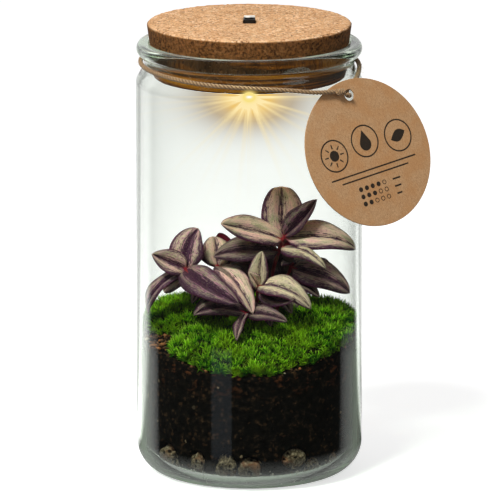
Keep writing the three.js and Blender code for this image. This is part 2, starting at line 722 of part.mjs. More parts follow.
function grown(pebbleSolid) {
  const { min, max } = pebbleSolid.boundingBox();
  const middle = min.map((low, i) => (low + max[i]) / 2);
  const scale = min.map((low, i) => 1 + (2.4 * GAP) / (max[i] - low));
  const move = middle.map((m, i) => m * (1 - scale[i]));
  return pebbleSolid.scale(scale).translate(move);
}

// The assembly

addNode('glass_jar', jar(), 'glass');
addNode('cork_lid', cork(), 'cork');
addNode('switch_frame', switchFrame(), 'blackPlastic');
addNode('switch_knob', switchKnob(), 'blackPlastic');
addNode('lamp_housing', lampHousing(), 'whitePlastic');
addNode('lamp_lens', lampLens(), 'lens');
addNode('lamp_board', disc(BOARD_R, BOARD_Z, BOARD_TOP), 'board');
const emitterTop = BOARD_Z - GAP;
addNode('lamp_emitter', block(EMITTER_W, EMITTER_W, emitterTop - EMITTER_T, emitterTop), 'emitter');
addNode('contact_lower', disc(CONTACT_R, BOARD_TOP + GAP, CELL_Z - GAP, 12), 'brass');
const cellsTop = CELL_Z + CELL_COUNT * (CELL_T + GAP);
addNode('contact_upper', disc(CONTACT_R, cellsTop, cellsTop + CONTACT_T, 12), 'brass');
for (let i = 0; i < CELL_COUNT; i += 1) {
  const bottom = CELL_Z + i * (CELL_T + GAP);
  addNode(`button_cell_${i + 1}`, disc(CELL_R, bottom, bottom + CELL_T), 'steel');
}
addNode('lead_left', lampLead(-1), 'lead');
addNode('lead_right', lampLead(1), 'lead');
addNode('twine', twine(), 'twine');
addNode('hang_tag', hangTag(), 'card');

const stones = seeded(SEED);
const pebbles = PEBBLES.map((row) => pebble(row, stones));
const holes = joined([...pebbles.map(grown), ...STEMS.map(stemHole)]);
addNode('soil', soilBody().subtract(holes), 'soil');
pebbles.forEach((stone, i) => addNode(`pebble_${String(i + 1).padStart(2, '0')}`, stone, 'stone'));

const belowMoss = soilCutter();
let taken = joined(STEMS.map(stemHole));
for (const cushion of MOSS) {
  const body = joined(cushion.mounds.map((row) => mound(row, 0)));
  addNode(cushion.name, body.subtract(belowMoss).intersect(room).subtract(taken), 'moss');
  taken = joined([taken, ...cushion.mounds.map((row) => mound(row, 2 * GAP))]);
}

for (const stem of STEMS) {
  addNode(stem.name, leafyStem(stem), 'leaf');
}

export default part;
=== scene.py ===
"""Glass plant terrarium: a corked glass jar with a lamp in its lid, planted with a striped plant and moss.

Every piece is in metres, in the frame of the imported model, with +Z up and the jar's base at the origin.
"""

import math
import random
from collections import namedtuple

import bmesh
import bpy
import numpy as np
from bpy.props import FloatProperty, FloatVectorProperty, IntProperty, PointerProperty
from mathutils import Matrix, Vector, noise


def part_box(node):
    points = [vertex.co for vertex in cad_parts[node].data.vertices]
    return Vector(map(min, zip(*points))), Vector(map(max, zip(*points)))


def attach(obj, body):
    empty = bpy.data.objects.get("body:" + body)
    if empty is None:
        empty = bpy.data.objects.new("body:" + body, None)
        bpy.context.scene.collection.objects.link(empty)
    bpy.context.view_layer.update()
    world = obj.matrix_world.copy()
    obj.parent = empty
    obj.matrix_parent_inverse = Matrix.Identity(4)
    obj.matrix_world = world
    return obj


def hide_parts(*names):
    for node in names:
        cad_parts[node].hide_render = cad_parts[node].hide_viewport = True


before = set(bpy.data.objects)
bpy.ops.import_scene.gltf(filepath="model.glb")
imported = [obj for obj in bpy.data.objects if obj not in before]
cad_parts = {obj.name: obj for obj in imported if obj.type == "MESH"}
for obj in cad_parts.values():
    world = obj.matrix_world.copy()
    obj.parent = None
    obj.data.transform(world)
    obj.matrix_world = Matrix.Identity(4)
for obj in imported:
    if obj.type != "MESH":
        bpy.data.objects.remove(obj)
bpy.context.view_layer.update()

bl_info = {
    "name": "Glass plant terrarium",
    "version": (1, 0, 0),
    "blender": (4, 5, 0),
    "location": "View3D > Sidebar > Terrarium",
    "description": "Builds a corked glass jar with a lit lid, a striped plant, moss, soil and pebbles",
    "category": "Add Mesh",
}

MM = 0.001
DEG = math.pi / 180
BODY = "planted_jar"
KNOB_BODY = "switch_knob"
SEED = 11
# The hollow of the jar in millimetres: radius, height of its floor, and radius of its heel
SOIL_R = 67.4
FLOOR = 5.5
HEEL_R = 17
# Height of the soil in its middle, and how high over it the moss mounds have their middles
SOIL_TOP = 90
MOUND_LIFT = 2.2
# How far round a scattered piece may be turned, in radians
FULL_TURN = 6.28
# Colours drawn round the lamp: a grey haze of painted shade under the cork, its warm light, its rays, its
# core and the hot spot
GLOW_SHADE_HAZE = (0.47, 0.42, 0.34, 1)
GLOW_WARM = (0.84, 0.55, 0.16, 1)
GLOW_RAY = (1.0, 0.82, 0.42, 1)
GLOW_CORE = (0.95, 0.76, 0.24, 1)
GLOW_SPOT = (1.0, 1.0, 0.90, 1)
# [rays, angle of the first in degrees, how slowly they fade]
GLOW_STREAKS = ((16, 0, 0.965), (9, 4, 0.97), (13, 11, 0.96), (11, 17, 0.965), (7, 9, 0.97))

# Values kept at a leaf's points: its own tone, how purple and pink it is, how far it is darkened with
# painted shade, and how far out the point is on the half that hangs lower, where a wider purple margin is
# painted as shade
LEAF_VALUES = ("tone", "purple", "pink", "dark", "low")

# Tables in millimetres and degrees, as in the part's source, with five more leaves in the shade, painted
# nearly black to fill the gaps between leaves with painted shade
TWINE_ROUTE = [
    [53.1, -51.4, 249.4], [48.6, -54.3, 249.8], [44.2, -57.2, 250.1], [38.2, -60.8, 250.9],
    [29.8, -64, 252.2], [20.5, -66, 253.3], [9.5, -67.8, 254.2], [-0.2, -67.9, 254.8],
    [-16.6, -65.5, 255.4], [-30.6, -60.1, 256], [-44.7, -50.3, 256.8], [-58, -33.6, 257.6],
    [-64.9, -17, 258.3], [-67, -1.2, 258.9], [-63.5, 21, 259.6], [-53.4, 40.2, 260.2],
    [-37.9, 55.3, 260.5], [-18, 64.9, 260.6], [3, 67.3, 260.6], [24.6, 62.6, 260.5],
    [43.6, 50.7, 260.2], [57.3, 34.3, 259.4], [64.6, 16.2, 258], [67.5, 3.5, 256.4],
    [67.6, -8, 254.9], [65.9, -22, 252.9], [63.4, -32, 251.2], [60.6, -39.4, 249.6],
    [59.6, -41.8, 247.4], [59.8, -43, 245.7], [60.5, -44.8, 245.8], [61.2, -47.2, 246.3],
    [59.6, -49.8, 247.9],
]
# [angle from the front, size across, size up, height]
PEBBLES = [
    [-50, 15, 15, 17.2], [-29, 8, 12, 17.4], [-13, 11, 14.5, 16.4], [0, 12, 12.5, 15.4],
    [25, 13.5, 11, 20.6], [37, 9.5, 10.5, 13.4], [52, 8, 10, 14.2], [88, 13, 12, 16],
    [124, 11, 13, 16.4], [163, 14, 12, 15.4], [-153, 12, 14, 16.6], [-106, 14, 12.5, 16],
]
Mound = namedtuple("Mound", "at size turn")
MOSS = {
    "moss_front": [Mound((-19, -40), (30, 25, 8), -30), Mound((2, -31), (27, 42, 7), 0)],
    "moss_right": [Mound((45.5, 0), (26, 30, 14.5), 0), Mound((34, -28), (37, 27, 9.5), 36)],
    "moss_back_left": [Mound((-39, 12), (31, 30, 13.5), 20)],
    "moss_back": [Mound((0, 40), (52, 34, 8.5), 0)],
}
# Each leaf leaves its stem at a share of the stem's length and ends at its tip. wide: greatest width.
# arch and hook: rise of the midrib, whole and near its tip. fold: how far the halves rise, in degrees.
# face: the upper side. look: how purple, how pink, and how far darkened with painted shade, from 0 to 1.
# sweep: the midrib's bend sideways. blunt: roundness of the tip.
Leaf = namedtuple(
    "Leaf", "share tip wide arch hook fold face look sweep blunt", defaults=((0.4, 0.4, 0.3), 0, 0.62)
)
Stem = namedtuple("Stem", "name route leaves")
STEMS = [
    Stem("plant_stem_top", [(8, 2), (11, 1, 104), (15, -2, 128), (21.5, -8, 149)], [
        Leaf(0.98, (19.6, 6, 178), 27, -3, 6, 8, (0.1, -1, 0.25), (0.15, 0.9, 0), blunt=0.4),
        Leaf(1, (41.5, -17, 175), 19, -2, -3, 42, (-0.45, -0.8, 0.35), (0.9, 0.1, 0.45)),
        Leaf(1, (66, -4, 141), 21, 5, 5, 10, (0.1, -0.75, 0.7), (0.12, 0.9, 0)),
        Leaf(0.97, (-17.5, -26, 161.5), 20, 0, -3, 10, (-0.1, -0.75, 0.7), (0.15, 0.8, 0), sweep=2),
        Leaf(0.87, (-22, -9, 137), 20, 3, 2, 10, (-0.2, -0.7, 0.7), (0.6, 0.2, 0.6)),
        Leaf(0.9, (46.5, -33, 135), 14, 4, 4, -22, (0.1, -0.5, 0.9), (0.3, 0.1, 0.1)),
        Leaf(0.93, (40, 28, 144), 20, 4, 3, 14, (0.2, 0.4, 0.9)),
        Leaf(0.9, (3, 30, 140), 18, 4, 3, 14, (-0.2, 0.4, 0.9), (0.4, 0.4, 0.5)),
        Leaf(0.45, (26, -18, 103), 13, 3, 2, 12, (0.2, -0.6, 0.8), (0.4, 0.4, 0.7)),
        Leaf(0.55, (-6, 9, 134), 20, 3, 2, 10, (0, -1, 0.3), (0.4, 0.2, 0.9)),
    ]),
    Stem("plant_stem_left", [(-12, -2), (-16, -3, 104), (-28, -8, 122), (-39.5, -13, 130)], [
        Leaf(0.98, (-31.5, -6, 154), 22, 0, 2, 12, (-0.1, -1, 0.3), (0.75, 0.3, 0), sweep=-3),
        Leaf(0.99, (-59.5, -18, 140.5), 18, 0, -1, 28, (-0.1, -0.9, 0.5), (0.55, 0.5, 0)),
        Leaf(1, (-62, -9, 100.5), 12, 6, 3, 16, (-0.6, -0.6, 0.5), (0.9, 0.1, 0)),
        Leaf(1, (-6.5, -46, 115.5), 21, 5, 2, 10, (0, -0.85, 0.6), (0.95, 0.1, 0.4), sweep=4),
        Leaf(0.93, (-53, 0, 113), 12, 3, 1, 12, (-0.3, -0.9, 0.4), (0.2, 0.9, 0.1)),
        Leaf(0.95, (-51, 21, 126), 17, 4, 2, 14, (-0.3, 0.3, 0.9)),
        Leaf(0.45, (-34, -24, 103), 13, 3, 2, 12, (-0.1, -0.6, 0.8), (0.6, 0.4, 0.6)),
    ]),
    Stem("plant_stem_middle", [(-6, 4), (-8, 3, 106), (-14, -1, 122), (-20, -5, 130)], [
        Leaf(0.98, (-22, 11, 145), 20, 0, 3, 8, (0.3, -0.9, 0.4), (0.2, 0.7, 0.15)),
        Leaf(0.99, (-4, -24, 114), 18, 4, 2, 10, (0.4, -0.6, 0.7), (0.5, 0.3, 0.6)),
        Leaf(1, (2, -39, 107.5), 18, 4, 2, 10, (0.3, -0.6, 0.8), (0.2, 0.9, 0)),
        Leaf(0.7, (7, -5, 122), 18, 2, 2, 10, (0, -0.9, 0.5), (0.6, 0.3, 0.9)),
        Leaf(0.9, (-35, -29, 112), 14, 3, 2, 10, (-0.2, -0.6, 0.8), (0.6, 0.4, 0.6)),
        Leaf(0.95, (-38, 24, 128), 18, 5, 2, 14, (-0.3, 0.3, 0.9)),
        Leaf(0.9, (4, 6, 114), 24, 4, 2, 10, (0.1, -1, 0.2), (0.5, 0.2, 0.92)),
    ]),
    Stem("plant_stem_centre", [(3, -8), (4, -10, 102), (5, -17, 113), (5.5, -22, 121)], [
        Leaf(1, (8, -21, 143), 14, 0, 1, 24, (-0.3, -1, 0.1), (0.15, 0.3, 0.1)),
        Leaf(0.98, (-0.5, -28, 131.5), 9, 1, 0, 20, (0.3, -0.9, 0.3), (0.1, 0.8, 0)),
        Leaf(1, (37.5, -40, 111), 19, 6, 4, 10, (0.1, -0.65, 0.8), (0.25, 0.3, 0)),
        Leaf(0.92, (28, -47, 119), 12, -3, -1, 16, (0, -0.9, 0.5), (0.8, 0.3, 0.3), sweep=2),
        Leaf(0.7, (13, -40, 100), 12, 3, 2, 10, (0.2, -0.7, 0.7), (0.6, 0.3, 0.5)),
    ]),
    Stem("plant_stem_front", [(-3, -17), (-3, -20, 96), (-2.5, -27, 103), (-1.5, -34, 107)], [
        Leaf(0.97, (23, -45, 104), 12, 2, 2, 12, (0.1, -0.7, 0.7), (0.7, 0.2, 0.6)),
        Leaf(0.97, (-33.5, -47, 109), 13, 0, 0, 12, (0, -0.9, 0.5), (0.8, 0.2, 0.55), sweep=5),
        Leaf(1, (-7.5, -50.5, 93.5), 8, 2, 1, 16, (-0.5, -0.8, 0.4), (0.8, 0.2, 0.4)),
    ]),
    Stem("plant_stem_right", [(15, 3), (18, 3, 104), (22, 2, 118), (26, 1, 128)], [
        Leaf(0.99, (62, -6, 113.5), 21, 4, 4, 8, (0.2, -0.8, 0.65), (0.6, 0.6, 0.35)),
        Leaf(0.8, (43, -12, 112), 13, 3, 2, 12, (0.2, -0.6, 0.8), (0.5, 0.4, 0.6)),
        Leaf(1, (20, -9, 131), 8, 1, 0, 30, (-0.3, -0.6, 0.6), (0.9, 0.1, 0.5)),
        Leaf(0.98, (50, 22, 122), 18, 4, 3, 12, (0.3, 0.2, 0.9)),
        Leaf(0.6, (36, 8, 110), 20, 4, 2, 10, (0.1, -1, 0.3), (0.4, 0.4, 0.75)),
        Leaf(0.75, (3, 5, 116), 20, 3, 2, 10, (0, -1, 0.3), (0.4, 0.2, 0.85)),
        Leaf(0.7, (19, 12, 137), 22, 2, 2, 10, (0, -1, 0.1), (0.4, 0.3, 0.85)),
    ]),
    Stem("plant_stem_back_left", [(-7, 13), (-9, 16, 106), (-12, 21, 118), (-15, 25, 126)], [
        Leaf(1, (-45, 38, 118), 19, 5, 4, 12, (-0.3, 0.5, 0.8)),
        Leaf(0.9, (-20, 59, 115), 20, 5, 3, 12, (0, 0.6, 0.8)),
        Leaf(0.96, (9, 46, 130), 18, 4, 2, 12, (0.2, 0.6, 0.8)),
        Leaf(1, (-19, 31, 143), 15, 1, 1, 16, (0.2, 1, 0.3)),
        Leaf(0.5, (2, 9, 124), 17, 2, 1, 12, (0, -1, 0.3), (0.5, 0.3, 0.95)),
    ]),
    Stem("plant_stem_back_right", [(8, 14), (11, 18, 104), (17, 24, 114), (22, 29, 121)], [
        Leaf(1, (53, 34, 112), 18, 5, 4, 12, (0.3, 0.5, 0.8)),
        Leaf(0.98, (31, 58, 112), 19, 5, 3, 12, (0.1, 0.6, 0.8)),
        Leaf(0.97, (2, 58, 111), 16, 4, 3, 12, (-0.2, 0.6, 0.8)),
        Leaf(0.7, (12, 13, 131), 14, 2, 1, 12, (0, -1, 0.3), (0.5, 0.3, 0.95)),
        Leaf(1, (28, 36, 139), 15, 1, 1, 18, (-0.1, 1, 0.3)),
    ]),
]


# Values a user would change


class JarSizes(bpy.types.PropertyGroup):
    """Sizes and tint of the glass jar"""

    radius: FloatProperty(
        name="Radius", description="Outer radius of the wall", unit="LENGTH",
        default=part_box("glass_jar")[1].x,
    )
    wall: FloatProperty(
        name="Wall", description="Thickness of the glass wall", unit="LENGTH", default=2.6 * MM
    )
    floor: FloatProperty(
        name="Floor", description="Thickness of the glass floor", unit="LENGTH", default=FLOOR * MM
    )
    tint: FloatVectorProperty(
        name="Tint", description="Colour of the glass where it is thick", subtype="COLOR",
        default=(0.57, 0.74, 0.53),
    )
    tint_density: FloatProperty(
        name="Tint density", description="How fast the glass takes on its tint", default=44.0
    )


class CorkSizes(bpy.types.PropertyGroup):
    """Sizes and colours of the cork lid"""

    bottom_radius: FloatProperty(
        name="Bottom radius", description="Radius of the lid's lower face", unit="LENGTH",
        default=58.5 * MM,
    )
    top_radius: FloatProperty(
        name="Top radius", description="Radius of the lid's upper face", unit="LENGTH",
        default=63.2 * MM,
    )
    side_colour: FloatVectorProperty(
        name="Side colour", description="Colour of the turned side", subtype="COLOR",
        default=(0.125, 0.055, 0.016),
    )


class LampLook(bpy.types.PropertyGroup):
    """Light of the lamp in the lid"""

    colour: FloatVectorProperty(
        name="Colour", description="Colour of the lamp's light", subtype="COLOR",
        default=(1.0, 0.78, 0.38),
    )
    strength: FloatProperty(
        name="Strength", description="Brightness of the lens in its middle", default=40.0
    )
    power: FloatProperty(
        name="Power", description="Light that falls into the jar", unit="POWER", default=0.02
    )


class TwineSizes(bpy.types.PropertyGroup):
    """Sizes and colour of the jute twine"""

    diameter: FloatProperty(
        name="Diameter", description="Thickness of the twine", unit="LENGTH", default=3.0 * MM
    )
    lay: FloatProperty(
        name="Lay", description="Length of one full turn of its strands", unit="LENGTH",
        default=7.5 * MM,
    )
    fibres: IntProperty(name="Fibres", description="Number of loose fibres", default=420)
    colour: FloatVectorProperty(
        name="Colour", description="Colour of the jute", subtype="COLOR", default=(0.33, 0.205, 0.10)
    )


class TagSizes(bpy.types.PropertyGroup):
    """Sizes and colours of the hang tag"""

    radius: FloatProperty(
        name="Radius", description="Radius of the card", unit="LENGTH", default=46 * MM
    )
    thickness: FloatProperty(
        name="Thickness", description="Thickness of the card", unit="LENGTH", default=1 * MM
    )
    card_colour: FloatVectorProperty(
        name="Card", description="Colour of the kraft card", subtype="COLOR",
        default=(0.40, 0.235, 0.115),
    )
    ink_colour: FloatVectorProperty(
        name="Ink", description="Colour of the care print", subtype="COLOR",
        default=(0.025, 0.018, 0.012),
    )


class SoilLook(bpy.types.PropertyGroup):
    """Fineness and colour of the potting soil"""

    crumbs: IntProperty(name="Crumbs", description="Number of loose crumbs on top", default=2600)
    grain: FloatProperty(
        name="Grain", description="Spacing of the soil's surface", unit="LENGTH",
        default=1.25 * MM,
    )
    colour: FloatVectorProperty(
        name="Colour", description="Main colour of the soil", subtype="COLOR",
        default=(0.0045, 0.004, 0.0032),
    )


class MossLook(bpy.types.PropertyGroup):
    """Thickness and colour of the moss"""

    spacing: FloatProperty(
        name="Spacing", description="Distance between sprigs", unit="LENGTH", default=2.2 * MM
    )
    root_colour: FloatVectorProperty(
        name="Root colour", description="Colour deep in the moss", subtype="COLOR",
        default=(0.012, 0.045, 0.004),
    )
    tip_colour: FloatVectorProperty(
        name="Tip colour", description="Colour of the sprigs' tips", subtype="COLOR",
        default=(0.50, 0.88, 0.06),
    )


class PlantLook(bpy.types.PropertyGroup):
    """Fineness and colours of the striped plant"""

    columns: IntProperty(name="Columns", description="Faces across a leaf", default=14)
    rows: IntProperty(name="Rows", description="Faces along a leaf", default=26)
    blade: FloatProperty(
        name="Blade", description="Thickness of a leaf", unit="LENGTH", default=0.5 * MM
    )
    band_colour: FloatVectorProperty(
        name="Band colour", description="Colour of the silvery bands", subtype="COLOR",
        default=(0.52, 0.50, 0.33),
    )
    rib_colour: FloatVectorProperty(
        name="Rib colour", description="Colour of the midrib and the margins", subtype="COLOR",
        default=(0.052, 0.012, 0.042),
    )
    blush_colour: FloatVectorProperty(
        name="Blush colour", description="Colour of the pink streaks", subtype="COLOR",
        default=(0.80, 0.42, 0.40),
    )


class StageLook(bpy.types.PropertyGroup):
    """Camera distance and light of the stage"""

    distance: FloatProperty(
        name="Distance", description="Camera to the jar's middle", unit="LENGTH", default=4.5
    )
    elevation: FloatProperty(
        name="Elevation", description="Camera above the horizon", subtype="ANGLE",
        default=12.55 * DEG,
    )
    key: FloatProperty(
        name="Key light", description="Power of the main light", unit="POWER", default=27.0
    )
    fill: FloatProperty(
        name="Fill light", description="Power of the light from the right", unit="POWER", default=2.2
    )


LOOKS = {
    "jar": JarSizes,
    "cork": CorkSizes,
    "lamp": LampLook,
    "twine": TwineSizes,
    "tag": TagSizes,
    "soil": SoilLook,
    "moss": MossLook,
    "plant": PlantLook,
    "stage": StageLook,
}


def look(name):
    """The scene's property group for one piece."""
    return getattr(bpy.context.scene, "terrarium_" + name)


# Shape tools


def arc(r, z, across, up, start, end, steps):
    """Profile points on an arc, with its angles in degrees."""
    angles = [math.radians(start + (end - start) * i / steps) for i in range(steps + 1)]
    return [(r + across * math.cos(a), z + up * math.sin(a)) for a in angles]


def eased_line(r0, z0, r1, z1, steps):
    """Profile points from one radius to another that leave and arrive upright."""
    shares = [i / steps for i in range(steps + 1)]
    return [(r0 + (r1 - r0) * t * t * (3 - 2 * t), z0 + (z1 - z0) * t) for t in shares]


def straight_line(start, end, step):
    """Profile points from start to end, about one step apart."""
    count = max(1, round(math.dist(start, end) / step))
    return [tuple(Vector(start).lerp(Vector(end), i / count)) for i in range(count + 1)]


def spun(profile, steps):
    """A body turned about the upright axis from (radius, height) points."""
    bm = bmesh.new()
    verts = [bm.verts.new((r, 0, z)) for r, z in profile]
    edges = [bm.edges.new(pair) for pair in zip(verts, verts[1:])]
    bmesh.ops.spin(
        bm, geom=verts + edges, cent=(0, 0, 0), axis=(0, 0, 1), angle=2 * math.pi, steps=steps,
        use_merge=True,
    )
    bmesh.ops.remove_doubles(bm, verts=bm.verts, dist=1e-6)
    bmesh.ops.recalc_face_normals(bm, faces=bm.faces)
    return bm


def edges_of(verts):
    """The edges that meet some vertices, each once."""
    return list(dict.fromkeys(edge for vert in verts for edge in vert.link_edges))


def bevelled_box(bm, low, high, radius, segments=3):
    """A box between two corners with rounded edges."""
    made = bmesh.ops.create_cube(bm, size=1)["verts"]
    low, high = Vector(low), Vector(high)
    bmesh.ops.scale(bm, vec=high - low, verts=made)
    bmesh.ops.translate(bm, vec=(low + high) / 2, verts=made)
    edges = edges_of(made)
    bmesh.ops.bevel(
        bm, geom=edges, offset=radius, offset_type="OFFSET", segments=segments, profile=0.5,
        affect="EDGES", material=-1,
    )


class Route:
    """A centripetal Catmull-Rom curve through points, read by share of its length."""

    def __init__(self, points):
        fine = 24
        knots = [Vector(p) for p in points]
        knots = [2 * knots[0] - knots[1], *knots, 2 * knots[-1] - knots[-2]]
        self.places = [knots[1]]
        for a, b, c, d in zip(knots, knots[1:], knots[2:], knots[3:]):
            before, here, after = [math.sqrt((q - p).length) for p, q in ((a, b), (b, c), (c, d))]
            leave = ((b - a) / before - (c - a) / (before + here) + (c - b) / here) * here
            arrive = ((c - b) / here - (d - b) / (here + after) + (d - c) / after) * here
            for i in range(1, fine + 1):
                t = i / fine
                self.places.append(
                    b * (2 * t**3 - 3 * t**2 + 1) + leave * (t**3 - 2 * t**2 + t)
                    + c * (3 * t**2 - 2 * t**3) + arrive * (t**3 - t**2)
                )
        self.marks = [0.0]
        for p, q in zip(self.places, self.places[1:]):
            self.marks.append(self.marks[-1] + (q - p).length)
        self.length = self.marks[-1]

    def at(self, share):
        """The place at a share of the length."""
        mark = min(max(share, 0.0), 1.0) * self.length
        i = int(np.searchsorted(self.marks, mark, side="right")) - 1
        i = min(i, len(self.places) - 2)
        step = self.marks[i + 1] - self.marks[i]
        return self.places[i].lerp(self.places[i + 1], (mark - self.marks[i]) / step)

    def spaced(self, step):
        """Places along the whole route, about one step apart."""
        count = max(2, round(self.length / step))
        return [self.at(i / count) for i in range(count + 1)]


def sweep(bm, centres, radii, sides, lobes=0, depth=0.0, turns=0.0, layer=None):
    """A closed tube round the centres. Lobes press grooves into it, which wind along it by turns."""
    ring = bmesh.ops.create_circle(bm, cap_ends=False, radius=1, segments=sides)["verts"]
    edges = edges_of(ring)
    first = edges
    across = None
    for step, centre in enumerate(centres):
        after = centres[min(step + 1, len(centres) - 1)]
        before = centres[max(step - 1, 0)]
        heading = (after - before).normalized()
        if across is None:
            across = heading.orthogonal()
        across = (across - heading * across.dot(heading)).normalized()
        up = heading.cross(across)
        if step:
            made = bmesh.ops.extrude_edge_only(bm, edges=edges)["geom"]
            ring = ordered_like(ring, made)
            edges = [item for item in made if isinstance(item, bmesh.types.BMEdge)]
        wound = 2 * math.pi * turns * step / max(1, len(centres) - 1)
        for i, vert in enumerate(ring):
            angle = 2 * math.pi * i / sides
            crest = abs(math.cos(lobes / 2 * (angle - wound))) if lobes else 1.0
            reach = radii[step] * (1 - depth + depth * crest)
            vert.co = centre + reach * (math.cos(angle) * across + math.sin(angle) * up)
            if layer is not None:
                vert[layer] = crest
    bmesh.ops.holes_fill(bm, edges=first, sides=sides)
    bmesh.ops.holes_fill(bm, edges=edges, sides=sides)


def ordered_like(ring, made):
    """The new ring's vertices in the old ring's order, found along the edges between them."""
    new = {item for item in made if isinstance(item, bmesh.types.BMVert)}
    return [next(e.other_vert(v) for e in v.link_edges if e.other_vert(v) in new) for v in ring]


def mesh_of(bm, name):
    """A mesh made from a bmesh, which is freed."""
    mesh = bpy.data.meshes.new(name)
    bm.to_mesh(mesh)
    bm.free()
    return mesh


def copies(name, shapes, places, rng):
    """One mesh with a copy of a small shape at each place, pressed in where it meets the glass.

    Each copy has a tone of its own, and each point its height in the shape.
    """
    within = SOIL_R * MM - 0.3 * MM
    corners, faces, tips, tones = [], [], [], []
    start = 0
    for place in places:
        points, triangles, heights = shapes[rng.randrange(len(shapes))]
        turned = points @ np.array(place.to_3x3()).T + np.array(place.translation)
        corners.append(turned)
        faces.append(triangles + start)
        tips.append(heights)
        tones.append(np.full(len(points), rng.random()))
        start += len(points)
    mesh = bpy.data.meshes.new(name)
    corners = np.concatenate(corners)
    corners[:, :2] *= np.minimum(1, within / np.hypot(corners[:, 0], corners[:, 1]))[:, None]
    mesh.from_pydata(corners, [], np.concatenate(faces))
    for layer, values in (("tip", tips), ("tone", tones)):
        mesh.attributes.new(layer, "FLOAT", "POINT").data.foreach_set("value", np.concatenate(values))
    return mesh


def plain_shape(bm):
    """A small bmesh as arrays: its points, its triangles, and each point's height from 0 to 1."""
    bmesh.ops.triangulate(bm, faces=bm.faces)
    bm.verts.index_update()
    points = np.array([v.co[:] for v in bm.verts])
    triangles = np.array([[v.index for v in f.verts] for f in bm.faces])
    bm.free()
    low, high = points[:, 2].min(), points[:, 2].max()
    return points, triangles, (points[:, 2] - low) / (high - low)


def show(name, made, materials, replaces=(), body=BODY, smooth=True):
    """A mesh or a bmesh as a piece of the object, on its body and with its finish."""
    mesh = mesh_of(made, name) if isinstance(made, bmesh.types.BMesh) else made
    piece = bpy.data.objects.new(name, mesh)
    bpy.context.scene.collection.objects.link(piece)
    for material in materials:
        mesh.materials.append(material)
    mesh.polygons.foreach_set("use_smooth", [smooth] * len(mesh.polygons))
    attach(piece, body)
    if replaces:
        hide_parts(*replaces)
    return piece


# Material tools


def rgb(red, green, blue):
    """A colour read as 0 to 255, as the linear colour that a shader takes."""
    shares = [value / 255 for value in (red, green, blue)]
    return (*[s / 12.92 if s < 0.04045 else ((s + 0.055) / 1.055) ** 2.4 for s in shares], 1)


def solid(colour):
    """A property's colour with full alpha."""
    return (*colour, 1)


class Nodes:
    """A node tree, emptied, with short ways to add and join its nodes"""

    def __init__(self, tree):
        self.tree = tree
        tree.nodes.clear()

    def add(self, kind, inputs=None, **settings):
        """A node with its settings, and each input set to a value or joined to a socket."""
        node = self.tree.nodes.new(kind)
        for key, value in settings.items():
            setattr(node, key, value)
        for key, value in (inputs or {}).items():
            if isinstance(value, bpy.types.NodeSocket):
                self.tree.links.new(value, node.inputs[key])
            else:
                node.inputs[key].default_value = value
        return node

    def maths(self, operation, first, second=0.0):
        """One sum on values."""
        return self.add("ShaderNodeMath", {0: first, 1: second}, operation=operation).outputs[0]

    def plus(self, first, second):
        return self.maths("ADD", first, second)

    def minus(self, first, second):
        return self.maths("SUBTRACT", first, second)

    def times(self, first, second):
        return self.maths("MULTIPLY", first, second)

    def larger(self, first, second):
        return self.maths("MAXIMUM", first, second)

    def axes(self, vector):
        """A vector's X, Y and Z."""
        return self.add("ShaderNodeSeparateXYZ", {"Vector": vector}).outputs

    def levelled(self, vector):
        """A vector without its height."""
        axes = self.axes(vector)
        return self.add("ShaderNodeCombineXYZ", {"X": axes["X"], "Y": axes["Y"]}).outputs[0]

    def vectors(self, operation, first, second=(0, 0, 0)):
        """One sum on vectors."""
        return self.add("ShaderNodeVectorMath", {0: first, 1: second}, operation=operation).outputs

    def either(self, share, first, second):
        """The first value where the share is 0, and the second where it is 1."""
        return self.add("ShaderNodeMix", {0: share, 2: first, 3: second}).outputs[0]

    def grade(self, value, low, high, to_low=0.0, to_high=1.0):
        """A value stretched from one range to another, and kept in it."""
        inputs = {
            "Value": value, "From Min": low, "From Max": high, "To Min": to_low, "To Max": to_high,
        }
        return self.add("ShaderNodeMapRange", inputs).outputs["Result"]


